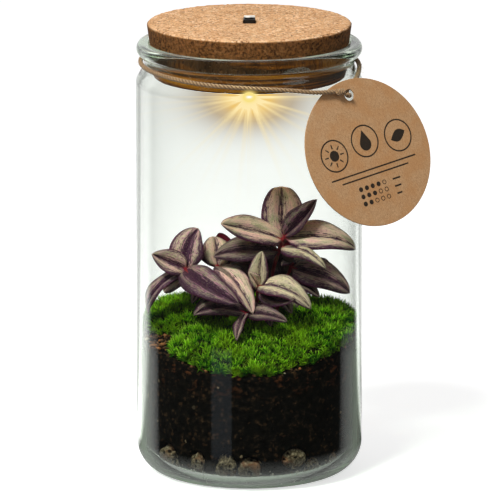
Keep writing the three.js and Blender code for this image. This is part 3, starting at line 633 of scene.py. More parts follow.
class Finish(Nodes):
    """A material and its nodes"""

    def __init__(self, name):
        self.material = bpy.data.materials.new(name)
        self.material.use_nodes = True
        super().__init__(self.material.node_tree)
        self.output = self.add("ShaderNodeOutputMaterial")
        self.place = self.add("ShaderNodeTexCoord").outputs["Object"]

    def noise(self, scale, detail=3.0, roughness=0.55, at=None):
        """Soft noise from 0 to 1, with its scale in grains a metre."""
        inputs = {"Vector": at or self.place, "Scale": scale, "Detail": detail, "Roughness": roughness}
        return self.add("ShaderNodeTexNoise", inputs).outputs["Fac"]

    def cell_edge(self, scale):
        """The distance from the edge of a cell, in a pattern of cells."""
        inputs = {"Vector": self.place, "Scale": scale}
        return self.add("ShaderNodeTexVoronoi", inputs, feature="DISTANCE_TO_EDGE").outputs["Distance"]

    def cell_tone(self, scale):
        """A value from 0 to 1 for each cell, in a pattern of cells."""
        cells = self.add("ShaderNodeTexVoronoi", {"Vector": self.place, "Scale": scale}, feature="F1")
        return self.add("ShaderNodeSeparateColor", {"Color": cells.outputs["Color"]}).outputs[0]

    def stretched(self, scale, at=None):
        """The place, pulled by a scale along each axis."""
        node = self.add("ShaderNodeMapping", {"Vector": at or self.place, "Scale": scale})
        return node.outputs["Vector"]

    def ramp(self, value, *stops):
        """Colours along a value, from (position, colour) stops."""
        node = self.add("ShaderNodeValToRGB", {"Fac": value})
        elements = node.color_ramp.elements
        elements[0].position, elements[0].color = stops[0]
        elements[1].position, elements[1].color = stops[-1]
        for position, colour in stops[1:-1]:
            elements.new(position).color = colour
        return node.outputs["Color"]

    def mix(self, share, first, second):
        """Two colours mixed by a share."""
        return self.add("ShaderNodeMix", {0: share, 6: first, 7: second}, data_type="RGBA").outputs[2]

    def coated(self, colour, *coats):
        """Tints laid over a colour in order, each from (value, bare, full, most, tint).

        A coat isn't there where its value is at bare, and covers most of the colour at full.
        """
        for value, bare, full, most, tint in coats:
            colour = self.mix(self.grade(value, bare, full, 0.0, most), colour, rgb(*tint))
        return colour

    def attribute(self, name):
        """A value kept in the mesh."""
        return self.add("ShaderNodeAttribute", attribute_name=name).outputs["Fac"]

    def bump(self, height, depth):
        """A surface raised by a height, to a depth in metres."""
        return self.add("ShaderNodeBump", {"Height": height, "Distance": depth}).outputs["Normal"]

    def done(self, colour, roughness, normal=None, **others):
        """The Principled shader with these values, joined to the output."""
        inputs = {"Base Color": colour, "Roughness": roughness}
        if normal is not None:
            inputs["Normal"] = normal
        inputs.update({key.replace("_", " "): value for key, value in others.items()})
        shader = self.add("ShaderNodeBsdfPrincipled", inputs)
        self.tree.links.new(shader.outputs["BSDF"], self.output.inputs["Surface"])
        return self.material


# Materials


def jar_glass():
    """Clear glass with a faint green tint where it is thick. Where it is seen edge-on at its heel, at its
    rim and by the soil it is turned milk-white: painted light, which stands in for the brightness of its
    grazing reflections.

    Light from lamps passes it.
    """
    f = Finish("jar_glass")
    sizes = look("jar")
    height = f.axes(f.place)["Z"]
    facing = f.add("ShaderNodeLayerWeight", {"Blend": 0.5}).outputs["Facing"]
    # Milk-white where the glass is seen edge-on at the heel, the rim and the band by the soil: painted
    # light standing in for grazing reflections
    heel = f.times(f.grade(height, 0.022, 0.012), f.grade(facing, 0.35, 0.75))
    rim = f.times(f.grade(height, 0.256, 0.262), f.grade(facing, 0.5, 0.85, 0.0, 0.75))
    edge_on_soil_lightening = f.times(f.grade(height, 0.100, 0.080, 0.0, 0.55), f.grade(facing, 0.42, 0.66))
    streaks = f.noise(1.0, detail=3, at=f.stretched((40, 40, 900)))
    ends = f.times(f.larger(heel, rim), f.grade(streaks, 0.4, 0.6, 0.25, 1.0))
    milky_edge_light = f.larger(ends, edge_on_soil_lightening)
    glass = f.add("ShaderNodeBsdfPrincipled", {
        "Base Color": f.mix(milky_edge_light, (1, 1, 1, 1), rgb(192, 224, 182)), "Roughness": 0.0, "IOR": 1.5,
        "Transmission Weight": f.minus(1.0, f.times(milky_edge_light, 0.7)),
    })
    clear = f.add("ShaderNodeBsdfTransparent", {"Color": (0.96, 0.98, 0.97, 1)})
    path = f.add("ShaderNodeLightPath")
    soft = f.larger(path.outputs["Is Shadow Ray"], path.outputs["Is Diffuse Ray"])
    mixed = f.add("ShaderNodeMixShader", {0: soft, 1: glass.outputs[0], 2: clear.outputs[0]})
    tint = f.add("ShaderNodeVolumeAbsorption", {
        "Color": solid(sizes.tint), "Density": sizes.tint_density,
    })
    f.tree.links.new(mixed.outputs[0], f.output.inputs["Surface"])
    f.tree.links.new(tint.outputs[0], f.output.inputs["Volume"])
    return f.material


def cork_grain():
    """Pressed cork granules, light where the surface faces up and dark brown on the side."""
    f = Finish("cork_grain")
    side_colour = solid(look("cork").side_colour)
    shade, seam = f.cell_tone(640), f.cell_edge(640)
    fine = f.noise(1500, detail=5)
    top = f.coated(
        f.ramp(
            f.plus(f.times(shade, 0.45), f.times(fine, 0.55)), (0.1, rgb(150, 96, 54)),
            (0.36, rgb(214, 162, 112)), (0.6, rgb(234, 188, 142)), (0.9, rgb(254, 232, 200)),
        ),
        (f.noise(600, detail=2), 0.59, 0.65, 0.85, (74, 40, 22)),
    )
    marks = f.noise(620, detail=5, roughness=0.7)
    side = f.ramp(marks, (0.38, rgb(20, 10, 5)), (0.5, side_colour), (0.64, rgb(142, 90, 46)))
    side = f.coated(side, (shade, 0.75, 1.0, 0.6, (150, 104, 62)))
    # Low on the side, where it sits inside the glass neck, the cork is painted amber with dark bands:
    # painted light from the lamp in the lid, with painted shade in the bands
    height = f.axes(f.place)["Z"]
    rings = f.noise(1.0, detail=4, at=f.stretched((9, 9, 420)))
    pressed = f.ramp(rings, (0.42, rgb(30, 16, 4)), (0.5, rgb(160, 88, 10)), (0.62, rgb(220, 142, 34)))
    side = f.mix(f.grade(height, 0.271, 0.268, 0.0, 0.85), side, pressed)
    # Light where the surface faces up, dark brown where it faces sideways
    up = f.axes(f.add("ShaderNodeNewGeometry").outputs["Normal"])["Z"]
    colour = f.coated(
        f.mix(f.grade(up, 0.35, 0.8), side, top), (seam, 0.08, 0.0, 0.35, (84, 52, 28)),
        (f.noise(55, detail=2), 0.35, 0.75, 0.25, (150, 100, 60)),
    )
    relief = f.plus(f.grade(seam, 0.0, 0.12), f.times(fine, 0.6))
    return f.done(colour, f.grade(fine, 0, 1, 0.75, 0.95), f.bump(relief, 0.3 * MM), Specular_IOR_Level=0.2)


def moulded(name, colour, roughness):
    """Plain moulded plastic with a fine spark-eroded skin."""
    f = Finish(name)
    skin = f.noise(9000, detail=2)
    shade = f.coated(colour, (f.noise(300), 0.3, 0.7, 0.25, (60, 60, 58)))
    rough = f.grade(skin, 0, 1, roughness - 0.05, roughness + 0.1)
    return f.done(shade, rough, f.bump(skin, 0.02 * MM))


def metal(name, colour, roughness):
    """Turned or pressed metal with faint marks."""
    f = Finish(name)
    marks = f.noise(1200, detail=3, at=f.stretched((1, 1, 6)))
    shade = f.coated(colour, (marks, 0.3, 0.7, 0.3, (90, 86, 80)))
    rough = f.grade(marks, 0, 1, roughness - 0.08, roughness + 0.12)
    return f.done(shade, rough, f.bump(marks, 0.01 * MM), Metallic=1.0)


def board_lacquer():
    """Green solder lacquer over copper tracks."""
    f = Finish("board_lacquer")
    tracks = f.cell_edge(700)
    colour = f.mix(f.grade(tracks, 0.05, 0.1), rgb(46, 120, 66), rgb(18, 74, 40))
    return f.done(colour, f.grade(f.noise(2000), 0, 1, 0.3, 0.45), f.bump(tracks, 0.03 * MM))


def lamp_light(name, strength, hot_radius):
    """A part that gives light, hottest in its middle."""
    f = Finish(name)
    frosted = f.noise(2500, detail=2)
    out, edge_strength = f.vectors("LENGTH", f.levelled(f.place))["Value"], 1.2
    return f.done(
        f.mix(frosted, rgb(255, 240, 205), rgb(255, 250, 235)), f.grade(frosted, 0, 1, 0.2, 0.35),
        f.bump(frosted, 0.02 * MM), Emission_Color=solid(look("lamp").colour),
        Emission_Strength=f.grade(out, hot_radius * 0.8, hot_radius, strength, edge_strength),
    )


def jute(name, shade_grooves=True):
    """Dry jute, its grooves between the strands darkened with painted shade."""
    f = Finish(name)
    fibre = f.noise(2600, detail=4, at=f.stretched((1, 1, 2.2)))
    base = solid(look("twine").colour)
    tone = f.ramp(fibre, (0.3, rgb(70, 46, 24)), (0.5, base), (0.74, rgb(208, 170, 124)))
    if shade_grooves:
        # Painted shade: darker in the grooves between the strands
        tone = f.coated(tone, (f.attribute("crest"), 0.85, 0.15, 0.9, (38, 22, 10)))
    return f.done(tone, f.grade(fibre, 0, 1, 0.8, 0.98), f.bump(fibre, 0.12 * MM), Sheen_Weight=0.2)


def kraft_card():
    """Kraft card with short fibres in every direction."""
    f = Finish("kraft_card")
    long_fibres = f.noise(900, detail=5, at=f.stretched((1, 2.6, 0.7)))
    cross_fibres = f.noise(980, detail=5, at=f.stretched((2.4, 0.8, 1.6)))
    both, base = f.plus(long_fibres, cross_fibres), solid(look("tag").card_colour)
    colour = f.coated(
        f.ramp(f.times(both, 0.5), (0.34, rgb(150, 112, 76)), (0.5, base), (0.66, rgb(192, 152, 110))),
        (f.noise(1400, detail=2), 0.66, 0.74, 1.0, (112, 76, 46)),
        (f.noise(95, detail=4), 0.42, 0.62, 0.4, (168, 116, 66)),
    )
    return f.done(colour, f.grade(long_fibres, 0, 1, 0.8, 0.95), f.bump(both, 0.06 * MM))


def printed_ink():
    """Matt dark ink that lets the card's fibres through a little."""
    f = Finish("printed_ink")
    worn = f.noise(1800, detail=4)
    colour = f.coated(solid(look("tag").ink_colour), (worn, 0.6, 0.75, 0.5, (120, 86, 56)))
    return f.done(colour, f.grade(worn, 0, 1, 0.6, 0.8), f.bump(worn, 0.02 * MM))


def soil_earth():
    """Dark moist potting soil with brown crumbs and pale specks."""
    f = Finish("soil_earth")
    clod = f.noise(260, detail=6, roughness=0.65)
    shade = f.cell_tone(620)
    colour = f.ramp(
        clod, (0.34, rgb(5, 5, 4)), (0.52, solid(look("soil").colour)), (0.61, rgb(30, 23, 16)),
        (0.72, rgb(82, 60, 40)),
    )
    colour = f.coated(
        colour, (shade, 0.94, 0.98, 0.5, (70, 48, 30)), (shade, 0.0025, 0.0015, 0.8, (150, 130, 100)),
    )
    bark = f.noise(130, detail=5, roughness=0.65, at=f.stretched((1, 1, 1.8)))
    barky = f.times(f.grade(bark, 0.56, 0.68), f.grade(f.axes(f.place)["Z"], 0.060, 0.074, 0.0, 0.85))
    colour = f.mix(barky, colour, rgb(104, 60, 34))
    height = f.plus(clod, f.times(shade, 0.4))
    return f.done(colour, f.grade(clod, 0, 1, 0.7, 1.0), f.bump(height, 0.9 * MM), Specular_IOR_Level=0.04)


def crumb_earth():
    """Loose crumbs, from near black to red-brown bark."""
    f = Finish("crumb_earth")
    colour = f.ramp(
        f.attribute("tone"), (0.0, rgb(30, 21, 15)), (0.45, rgb(74, 53, 38)), (0.8, rgb(118, 84, 58)),
        (0.96, rgb(168, 108, 64)), (1.0, rgb(214, 196, 168)),
    )
    grain = f.noise(1800, detail=3)
    return f.done(colour, 0.9, f.bump(grain, 0.2 * MM), Specular_IOR_Level=0.05)


def pebble_stone():
    """Porous drainage stone, tan to grey, with painted shade darkening its holes."""
    f = Finish("pebble_stone")
    grain = f.noise(700, detail=6, roughness=0.7)
    colour = f.ramp(
        grain, (0.3, rgb(44, 36, 27)), (0.46, rgb(84, 74, 57)), (0.6, rgb(138, 125, 101)),
        (0.78, rgb(206, 196, 174)),
    )
    # Painted shade: the holes are darkened by how deep they are
    colour = f.coated(
        colour, (f.noise(90, detail=2), 0.5, 0.65, 0.6, (134, 86, 58)),
        (f.attribute("pit_shade"), 0.1, 0.7, 1.0, (26, 21, 16)),
    )
    return f.done(colour, 0.92, f.bump(grain, 0.5 * MM), Specular_IOR_Level=0.1)


def grit_stone():
    """White chips of stone."""
    f = Finish("grit_stone")
    grain = f.noise(500, detail=3)
    colour = f.ramp(grain, (0.35, rgb(120, 110, 92)), (0.6, rgb(226, 222, 210)))
    return f.done(colour, 0.85, f.bump(grain, 0.1 * MM), Specular_IOR_Level=0.1)


def moss_leaf():
    """Moss sprigs, dark at the root and yellow-green at the tip, with a painted highlight at the very tips
    and painted shade in patches between the tufts.
    """
    f = Finish("moss_leaf")
    colours = look("moss")
    # The palest stop, at the very tips, is partly the young growth's own colour and partly a painted
    # highlight
    green = f.ramp(
        f.attribute("tip"), (0.0, solid(colours.root_colour)), (0.25, rgb(34, 78, 5)),
        (0.5, rgb(126, 200, 18)), (0.8, solid(colours.tip_colour)), (1.0, rgb(252, 255, 150)),
    )
    # The coarse dark patches are painted shade between the tufts
    colour = f.coated(
        green, (f.attribute("tone"), 0.35, 0.8, 0.6, (20, 84, 4)),
        (f.noise(260, detail=3), 0.5, 0.36, 0.88, (6, 26, 2)),
        (f.noise(70, detail=2), 0.42, 0.62, 0.4, (140, 176, 22)),
    )
    return f.done(colour, 0.55, Specular_IOR_Level=0.12)


def moss_bed():
    """The cushion under the sprigs, painted dark as the shade deep in the moss."""
    f = Finish("moss_bed")
    fuzz = f.noise(900, detail=5)
    colour = f.ramp(fuzz, (0.3, rgb(10, 12, 5)), (0.55, rgb(26, 32, 10)), (0.8, rgb(58, 60, 20)))
    return f.done(colour, 0.95, f.bump(fuzz, 1.2 * MM), Specular_IOR_Level=0.05)


def leaf_upper():
    """Leaf's upper side: olive-silver bands, pink patches, and a purple midrib and margins, with painted
    shade on dark leaves and along the lower-hanging edge.
    """
    f = Finish("leaf_upper")
    colours = look("plant")
    uv = f.add("ShaderNodeUVMap", uv_map="UVMap").outputs["UV"]
    uv_axes = f.axes(uv)
    across, along = uv_axes["X"], uv_axes["Y"]
    out = f.times(f.maths("ABSOLUTE", f.minus(across, 0.5)), 2.0)
    tone, purple, pink, dark, low = [f.attribute(name) for name in LEAF_VALUES]
    shift = f.add("ShaderNodeCombineXYZ", {"X": f.times(tone, 37.0)}).outputs[0]
    shifted = f.vectors("ADD", uv, shift)[0]

    def grain(across, along, detail, roughness=0.55):
        return f.noise(1.0, detail, roughness, f.stretched((across, along, 1), at=shifted))

    streaks, feather, patches = grain(46, 2.6, 5), grain(16, 9, 6, 0.7), grain(5, 3, 3)
    fleck, veins = grain(60, 34, 2), grain(70, 1.2, 2)
    spread = f.plus(out, f.times(f.minus(f.plus(streaks, feather), 1.0), 1.25))
    silver = f.mix(f.grade(streaks, 0.38, 0.7), solid(colours.band_colour), rgb(236, 230, 172))
    silver = f.coated(silver, (patches, 0.5, 0.3, 0.6, (122, 124, 88)))
    blushed = f.mix(f.grade(streaks, 0.35, 0.65), solid(colours.blush_colour), rgb(246, 200, 184))
    silver = f.mix(f.times(f.grade(patches, 0.36, 0.6), pink), silver, blushed)
    mauve = f.times(f.grade(feather, 0.44, 0.58), f.times(purple, 0.95))
    silver = f.mix(mauve, silver, rgb(208, 116, 168))
    rib_half = f.grade(purple, 0.0, 1.0, 0.02, 0.42)
    from_rib = f.grade(f.minus(spread, rib_half), -0.03, 0.13)
    # The margin is wider on the half that hangs lower: painted shade, standing in for the dark underside
    # seen along that edge
    margin = f.minus(f.grade(purple, 0.0, 1.0, 0.91, 0.70), f.grade(low, 0.0, 1.0, 0.0, 0.24))
    to_margin = f.grade(f.minus(spread, margin), -0.16, 0.14, 1.0, 0.0)
    deep = f.coated(solid(colours.rib_colour), (streaks, 0.5, 0.75, 0.6, (92, 48, 84)))
    colour = f.coated(
        f.mix(f.times(from_rib, to_margin), deep, silver), (streaks, 0.38, 0.30, 0.8, (44, 20, 34)),
        (feather, 0.40, 0.30, 0.7, (58, 30, 48)), (fleck, 0.56, 0.66, 0.45, (84, 48, 66)),
        (fleck, 0.42, 0.34, 0.45, (232, 206, 170)), (out, 0.92, 0.98, 0.9, (92, 30, 60)),
        (along, 0.12, 0.0, 0.9, (120, 16, 34)),
    )
    # Painted shade: leaves listed as dark are darkened nearly to black
    colour = f.mix(dark, colour, f.mix(f.grade(feather, 0.4, 0.65), rgb(8, 4, 6), rgb(48, 24, 34)))
    height = f.plus(f.times(veins, 0.7), f.grade(out, 0.0, 0.1))
    return f.done(
        colour, f.grade(streaks, 0, 1, 0.30, 0.52), f.bump(height, 0.4 * MM), Specular_IOR_Level=0.35
    )


def leaf_under():
    """Leaf's underside: deep wine purple with darker veins."""
    f = Finish("leaf_under")
    uv = f.add("ShaderNodeUVMap", uv_map="UVMap").outputs["UV"]
    veins = f.noise(1.0, detail=3, at=f.stretched((50, 2, 1), at=uv))
    colour = f.ramp(veins, (0.3, rgb(60, 8, 22)), (0.55, rgb(112, 24, 40)), (0.8, rgb(146, 60, 70)))
    return f.done(colour, f.grade(veins, 0, 1, 0.35, 0.5), f.bump(veins, 0.3 * MM), Specular_IOR_Level=0.3)


def stem_skin():
    """Juicy stem, wine red with green streaks."""
    f = Finish("stem_skin")
    streak = f.noise(500, detail=3, at=f.stretched((1, 1, 0.25)))
    colour = f.ramp(streak, (0.35, rgb(112, 20, 34)), (0.55, rgb(150, 44, 50)), (0.75, rgb(110, 96, 60)))
    return f.done(colour, f.grade(streak, 0, 1, 0.3, 0.5), f.bump(streak, 0.15 * MM))


# Jar


def jar_profile():
    """Outside up, over the rim, and down the inside to the middle of the floor."""
    sizes = look("jar")
    outer, inner, floor = sizes.radius, sizes.radius - sizes.wall, sizes.floor
    heel, inner_heel = 19.7 * MM, HEEL_R * MM
    shoulder_low, shoulder_high = 246 * MM, 258 * MM
    neck, inner_neck = 64.8 * MM, 61.7 * MM
    bead_low, bead_high, bead = 262.5 * MM, 271.4 * MM, 69.7 * MM
    bead_half, bead_mid, lip = (bead_high - bead_low) / 2, neck + 0.9 * MM, 1.6 * MM
    return [
        (0, 0),
        *arc(outer - heel, heel, heel, heel, -90, 0, 20),
        *eased_line(outer, shoulder_low, neck, shoulder_high, 12),
        *arc(bead_mid, bead_low + bead_half, bead - bead_mid, bead_half, -90, 90, 16),
        *arc(inner_neck + lip, bead_high - lip, lip, lip, 90, 180, 6),
        *eased_line(inner_neck, shoulder_high, inner, shoulder_low - 2 * MM, 12),
        *arc(inner - inner_heel, floor + inner_heel, inner_heel, inner_heel, 0, -90, 16),
        (0, floor),
    ]


def build_jar():
    show("jar", spun(jar_profile(), 192), [jar_glass()], ["glass_jar"])


# Cork, switch and lamp


def build_cork():
    sizes = look("cork")
    low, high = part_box("cork_lid")[0].z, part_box("cork_lid")[1].z
    lamp_bore, lamp_end = 14.3 * MM, 269.8 * MM
    lead_bore, pocket_floor = 2.6 * MM, 277.7 * MM
    chamfer = 1.2 * MM
    profile = [
        (lead_bore, lamp_end), (lamp_bore, lamp_end), (lamp_bore, low),
        *straight_line((lamp_bore + 0.5 * MM, low), (sizes.bottom_radius - 1 * MM, low), 2 * MM),
        *straight_line((sizes.bottom_radius, low + 1 * MM), (sizes.top_radius, high - chamfer), 1.2 * MM),
        *straight_line((sizes.top_radius - chamfer, high), (lead_bore, high), 1.6 * MM),
        (lead_bore, lamp_end),
    ]
    bm = spun(profile, 288)
    roughen_cork(bm, sizes, high)
    lid = show("cork", bm, [cork_grain()], ["cork_lid"])
    cutter = bmesh.new()
    low_corner, high_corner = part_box("switch_frame")
    gap, over = 0.3 * MM, 2 * MM
    bevelled_box(
        cutter, (low_corner.x - gap, low_corner.y - gap, pocket_floor),
        (high_corner.x + gap, high_corner.y + gap, high + over), 0.4 * MM,
    )
    pocket = bpy.data.objects.new("pocket", mesh_of(cutter, "pocket"))
    bpy.context.scene.collection.objects.link(pocket)
    cut = lid.modifiers.new("Pocket", "BOOLEAN")
    cut.operation, cut.object, cut.solver = "DIFFERENCE", pocket, "EXACT"
    apply_modifiers(lid)
    bpy.data.objects.remove(pocket)


def roughen_cork(bm, sizes, high):
    """Wears the lid's side and top unevenly, most of all round the edge between them."""
    side, top = sizes.bottom_radius - 3 * MM, high - 0.1 * MM
    edge, below_edge, edge_wear = sizes.top_radius - 2.2 * MM, high - 1.5 * MM, 2.2
    for vert in bm.verts:
        at = vert.co.copy()
        out = at.xy.length
        if out <= side and at.z <= top:
            continue
        worn = -0.22 * abs(noise.noise(at * 300)) - 0.14 * abs(noise.noise(at * 900))
        depth = worn * MM * (edge_wear if out > edge and at.z > below_edge else 1.0)
        outward = Vector((at.x, at.y, 0)).normalized()
        vert.co = at + (outward if out > side else Vector()) * depth
        if at.z > top:
            vert.co.z += depth * 0.8


def apply_modifiers(piece):
    """Puts the modifiers' result into the piece's own mesh."""
    graph = bpy.context.evaluated_depsgraph_get()
    made = bpy.data.meshes.new_from_object(piece.evaluated_get(graph))
    old = piece.data
    made.name = old.name
    piece.data = made
    piece.modifiers.clear()
    bpy.data.meshes.remove(old)


def build_switch():
    low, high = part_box("switch_frame")
    knob_low, knob_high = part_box("switch_knob")
    travel, side_gap = 2 * MM, 0.3 * MM
    slot_x = (knob_high.x - knob_low.x + travel + 1 * MM) / 2
    slot_y = (knob_high.y - knob_low.y) / 2 + side_gap
    slot_floor = high.z - 1.5 * MM
    black = moulded("black_plastic", rgb(5, 5, 5), 0.6)
    pale = moulded("pale_highlight_plastic", rgb(238, 236, 228), 0.45)
    case = bmesh.new()
    bevelled_box(case, low, (high.x, high.y, slot_floor), 0.25 * MM)
    for start, end in (
        ((low.x, low.y), (high.x, -slot_y)), ((low.x, slot_y), (high.x, high.y)),
        ((low.x, -slot_y), (-slot_x, slot_y)), ((slot_x, -slot_y), (high.x, slot_y)),
    ):
        bevelled_box(case, (*start, slot_floor - 0.3 * MM), (*end, high.z), 0.18 * MM)
    show("switch_case", case, [black], ["switch_frame"])
    # A pale strip along the back of the switch's top: painted highlight, standing in for light caught on
    # the top of the black switch
    highlight_strip = bmesh.new()
    bevelled_box(
        highlight_strip, (low.x + 0.4 * MM, high.y - 0.9 * MM, high.z - 0.1 * MM),
        (high.x - 0.1 * MM, high.y - 0.1 * MM, knob_high.z - 0.5 * MM), 0.1 * MM, 2,
    )
    show("switch_highlight_strip", highlight_strip, [pale])
    slider = bmesh.new()
    bevelled_box(slider, knob_low, (knob_high.x, knob_high.y, high.z + 0.9 * MM), 0.12 * MM)
    base_faces = len(slider.faces)
    bevelled_box(
        slider, (knob_low.x, knob_low.y, high.z + 0.7 * MM),
        (knob_high.x, knob_high.y, knob_high.z - 0.2 * MM), 0.12 * MM,
    )
    ribs, rib_width = 3, 0.35 * MM
    for i in range(ribs):
        left = knob_low.x + (i + 0.3) * (knob_high.x - knob_low.x) / ribs
        bevelled_box(
            slider, (left, knob_low.y + 0.3 * MM, knob_high.z - 0.5 * MM),
            (left + rib_width, knob_high.y - 0.3 * MM, knob_high.z), 0.08 * MM, 2,
        )
    # The knob's upper part and ribs in pale plastic: painted highlight on the top of the black knob
    for face in list(slider.faces)[base_faces:]:
        face.material_index = 1
    show("switch_slider", slider, [black, pale], ["switch_knob"], KNOB_BODY)


def build_lamp():
    (_, _, flange_low), (flange_r, _, top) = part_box("lamp_housing")
    flange_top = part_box("cork_lid")[0].z - 0.3 * MM
    lamp_r, bore, wall, hole = 14 * MM, 12.4 * MM, 1.6 * MM, 2.3 * MM
    ledge, ledge_in = 253.9 * MM, 11 * MM
    profile = [
        (hole, top - wall), (bore, top - wall), (bore, ledge + 1.7 * MM), (ledge_in, ledge + 1.1 * MM),
        (ledge_in, ledge), (bore, ledge), (bore, flange_low + 0.3 * MM), (bore + 0.3 * MM, flange_low),
        *arc(flange_r - 0.8 * MM, flange_low + 0.8 * MM, 0.8 * MM, 0.8 * MM, -90, 0, 5),
        (flange_r, flange_top), (lamp_r, flange_top), (lamp_r, top), (hole, top), (hole, top - wall),
    ]
    shell = moulded("white_plastic", rgb(235, 230, 220), 0.45)
    show("lamp_cup", spun(profile, 96), [shell], ["lamp_housing"])
    low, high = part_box("lamp_lens")
    rim = high.z - 2.6 * MM
    dome = arc(0, rim, high.x - 0.6 * MM, rim - low.z, -90, 0, 20)
    lens = [*dome, (high.x, rim + 0.2 * MM), (high.x, high.z), (0, high.z)]
    strength = look("lamp").strength
    lit = lamp_light("lamp_lens", strength, 3.6 * MM)
    show("lamp_dome", spun(lens, 96), [lit], ["lamp_lens"])
    for material, nodes in (
        (board_lacquer(), ["lamp_board"]),
        (lamp_light("lamp_glow", strength / 2, 1.5 * MM), ["lamp_emitter"]),
        (metal("contact_brass", rgb(214, 178, 96), 0.3), ["contact_lower", "contact_upper"]),
        (metal("cell_steel", rgb(196, 198, 202), 0.3), [f"button_cell_{n}" for n in (1, 2, 3)]),
        (moulded("lead_insulation", rgb(168, 30, 26), 0.5), ["lead_left", "lead_right"]),
    ):
        for node in nodes:
            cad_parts[node].data.materials.clear()
            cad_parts[node].data.materials.append(material)


# Twine and tag


def build_twine():
    sizes = look("twine")
    rng = random.Random(SEED)
    route = Route([Vector(p) * MM for p in TWINE_ROUTE])
    centres = route.spaced(0.8 * MM)
    radius = sizes.diameter / 2
    taper = [radius * min(1, 0.45 + 0.2 * min(i, len(centres) - 1 - i)) for i in range(len(centres))]
    bm = bmesh.new()
    crest = bm.verts.layers.float.new("crest")
    sweep(bm, centres, taper, 18, lobes=3, depth=0.34, turns=route.length / sizes.lay, layer=crest)
    twine = show("twine_loop", bm, [jute("jute")], ["twine"])
    knot = show("twine_knot", knot_wraps(radius), [jute("jute_knot")])
    fibre = jute("jute_fibre", shade_grooves=False)
    show("twine_fibres", loose_fibres(route, radius, rng), [fibre])
    return twine, knot, centres, route.length


def knot_wraps(radius):
    """A short whipping round the two ends, with its turns side by side."""
    centre = Vector((55.5, -50.6, 249.1)) * MM
    turn = 36 * DEG
    axis = Vector((math.cos(turn), math.sin(turn), 0))
    side = Vector((-axis.y, axis.x, 0))
    up = Vector((0, 0, 1))
    half, reach, turns, steps = 2.9 * MM, 1.25 * MM, 3, 60
    centres = []
    for i in range(steps + 1):
        share = i / steps
        angle = 2 * math.pi * turns * share
        round_it = math.cos(angle) * side + math.sin(angle) * up
        centres.append(centre + axis * half * (2 * share - 1) + reach * round_it)
    bm = bmesh.new()
    crest = bm.verts.layers.float.new("crest")
    radii = [radius * 0.68] * len(centres)
    sweep(bm, centres, radii, 12, lobes=3, depth=0.22, turns=6, layer=crest)
    core = [centre + axis * half * t * 1.2 for t in (-1, -0.5, 0, 0.5, 1)]
    sweep(bm, core, [radius * s for s in (0.5, 0.8, 0.9, 0.8, 0.5)], 12, layer=crest)
    return bm


def loose_fibres(route, radius, rng):
    """Fine fibres that stand off the twine, bent back along it."""
    bm = bmesh.new()
    for _ in range(look("twine").fibres):
        share = rng.uniform(0.01, 0.99)
        root = route.at(share)
        heading = (route.at(share + 0.004) - route.at(share - 0.004)).normalized()
        across = heading.orthogonal()
        across.rotate(Matrix.Rotation(rng.uniform(0, 2 * math.pi), 3, heading))
        length = rng.choice((2, 2.6, 3.4, 4.6, 7.5)) * MM
        lift = rng.uniform(0.2, 0.55)
        heading = heading * rng.choice((-1, 1))
        centres = [
            root + across * (radius * 0.8 + lift * length * math.sin(1.7 * t)) + heading * length * t
            for t in (0, 0.35, 0.7, 1)
        ]
        width = rng.uniform(0.04, 0.075) * MM
        sweep(bm, centres, [width, width, width * 0.8, width * 0.4], 3)
    return bm


def tag_place():
    """The tag's own frame: right, rise and the way its face looks, about its centre."""
    turn, lean, roll = 35 * DEG, 20 * DEG, 8.4 * DEG
    level = Vector((math.cos(turn), math.sin(turn), 0))
    normal = Vector((level.y, -level.x, math.tan(lean))).normalized()
    rise = normal.cross(level)
    tilt = Matrix.Rotation(roll, 3, normal)
    right, rise = tilt @ level, tilt @ rise
    axes = Matrix((right, rise, normal)).transposed().to_4x4()
    return Matrix.Translation(Vector((72.4, -51.3, 211.9)) * MM) @ axes


def ring(bm, radius, segments, centre=(0, 0)):
    made = bmesh.ops.create_circle(bm, cap_ends=False, radius=radius, segments=segments)["verts"]
    bmesh.ops.translate(bm, vec=(*centre, 0), verts=made)
    return edges_of(made)


def raised(bm, faces, height):
    """Flat faces made into a slab of a height."""
    made = bmesh.ops.extrude_face_region(bm, geom=faces)["geom"]
    verts = [item for item in made if isinstance(item, bmesh.types.BMVert)]
    bmesh.ops.translate(bm, vec=(0, 0, height), verts=verts)


def build_tag():
    sizes = look("tag")
    hole, hole_up = 3.5 * MM, 36.6 * MM
    bm = bmesh.new()
    edges = ring(bm, sizes.radius, 160) + ring(bm, hole, 48, (0, hole_up))
    bmesh.ops.triangle_fill(bm, use_beauty=True, use_dissolve=False, edges=edges)
    raised(bm, bm.faces[:], sizes.thickness)
    bmesh.ops.recalc_face_normals(bm, faces=bm.faces)
    rims = [e for e in bm.edges if e.is_manifold and e.calc_face_angle() > 1.2]
    bmesh.ops.bevel(
        bm, geom=rims, offset=0.2 * MM, offset_type="OFFSET", segments=2, profile=0.5,
        affect="EDGES", material=-1,
    )
    bmesh.ops.translate(bm, vec=(0, 0, -sizes.thickness / 2), verts=bm.verts)
    bmesh.ops.transform(bm, matrix=tag_place(), verts=bm.verts)
    show("care_tag", bm, [kraft_card()], ["hang_tag"], smooth=False)
    print_bm = care_print()
    bmesh.ops.transform(print_bm, matrix=tag_place(), verts=print_bm.verts)
    show("care_print", print_bm, [printed_ink()], smooth=False)


def flat_shape(bm, outline):
    """A filled flat shape from its outline's points."""
    verts = [bm.verts.new((x * MM, y * MM, 0)) for x, y in outline]
    return bmesh.ops.contextual_create(bm, geom=verts)["faces"]


def flat_ring(bm, centre, outer, inner, segments):
    """A filled ring."""
    middle = [c * MM for c in centre]
    edges = ring(bm, outer * MM, segments, middle) + ring(bm, inner * MM, segments, middle)
    return bmesh.ops.bridge_loops(bm, edges=edges)["faces"]


def bar(bm, left, low, right, high):
    return flat_shape(bm, [(left, low), (right, low), (right, high), (left, high)])


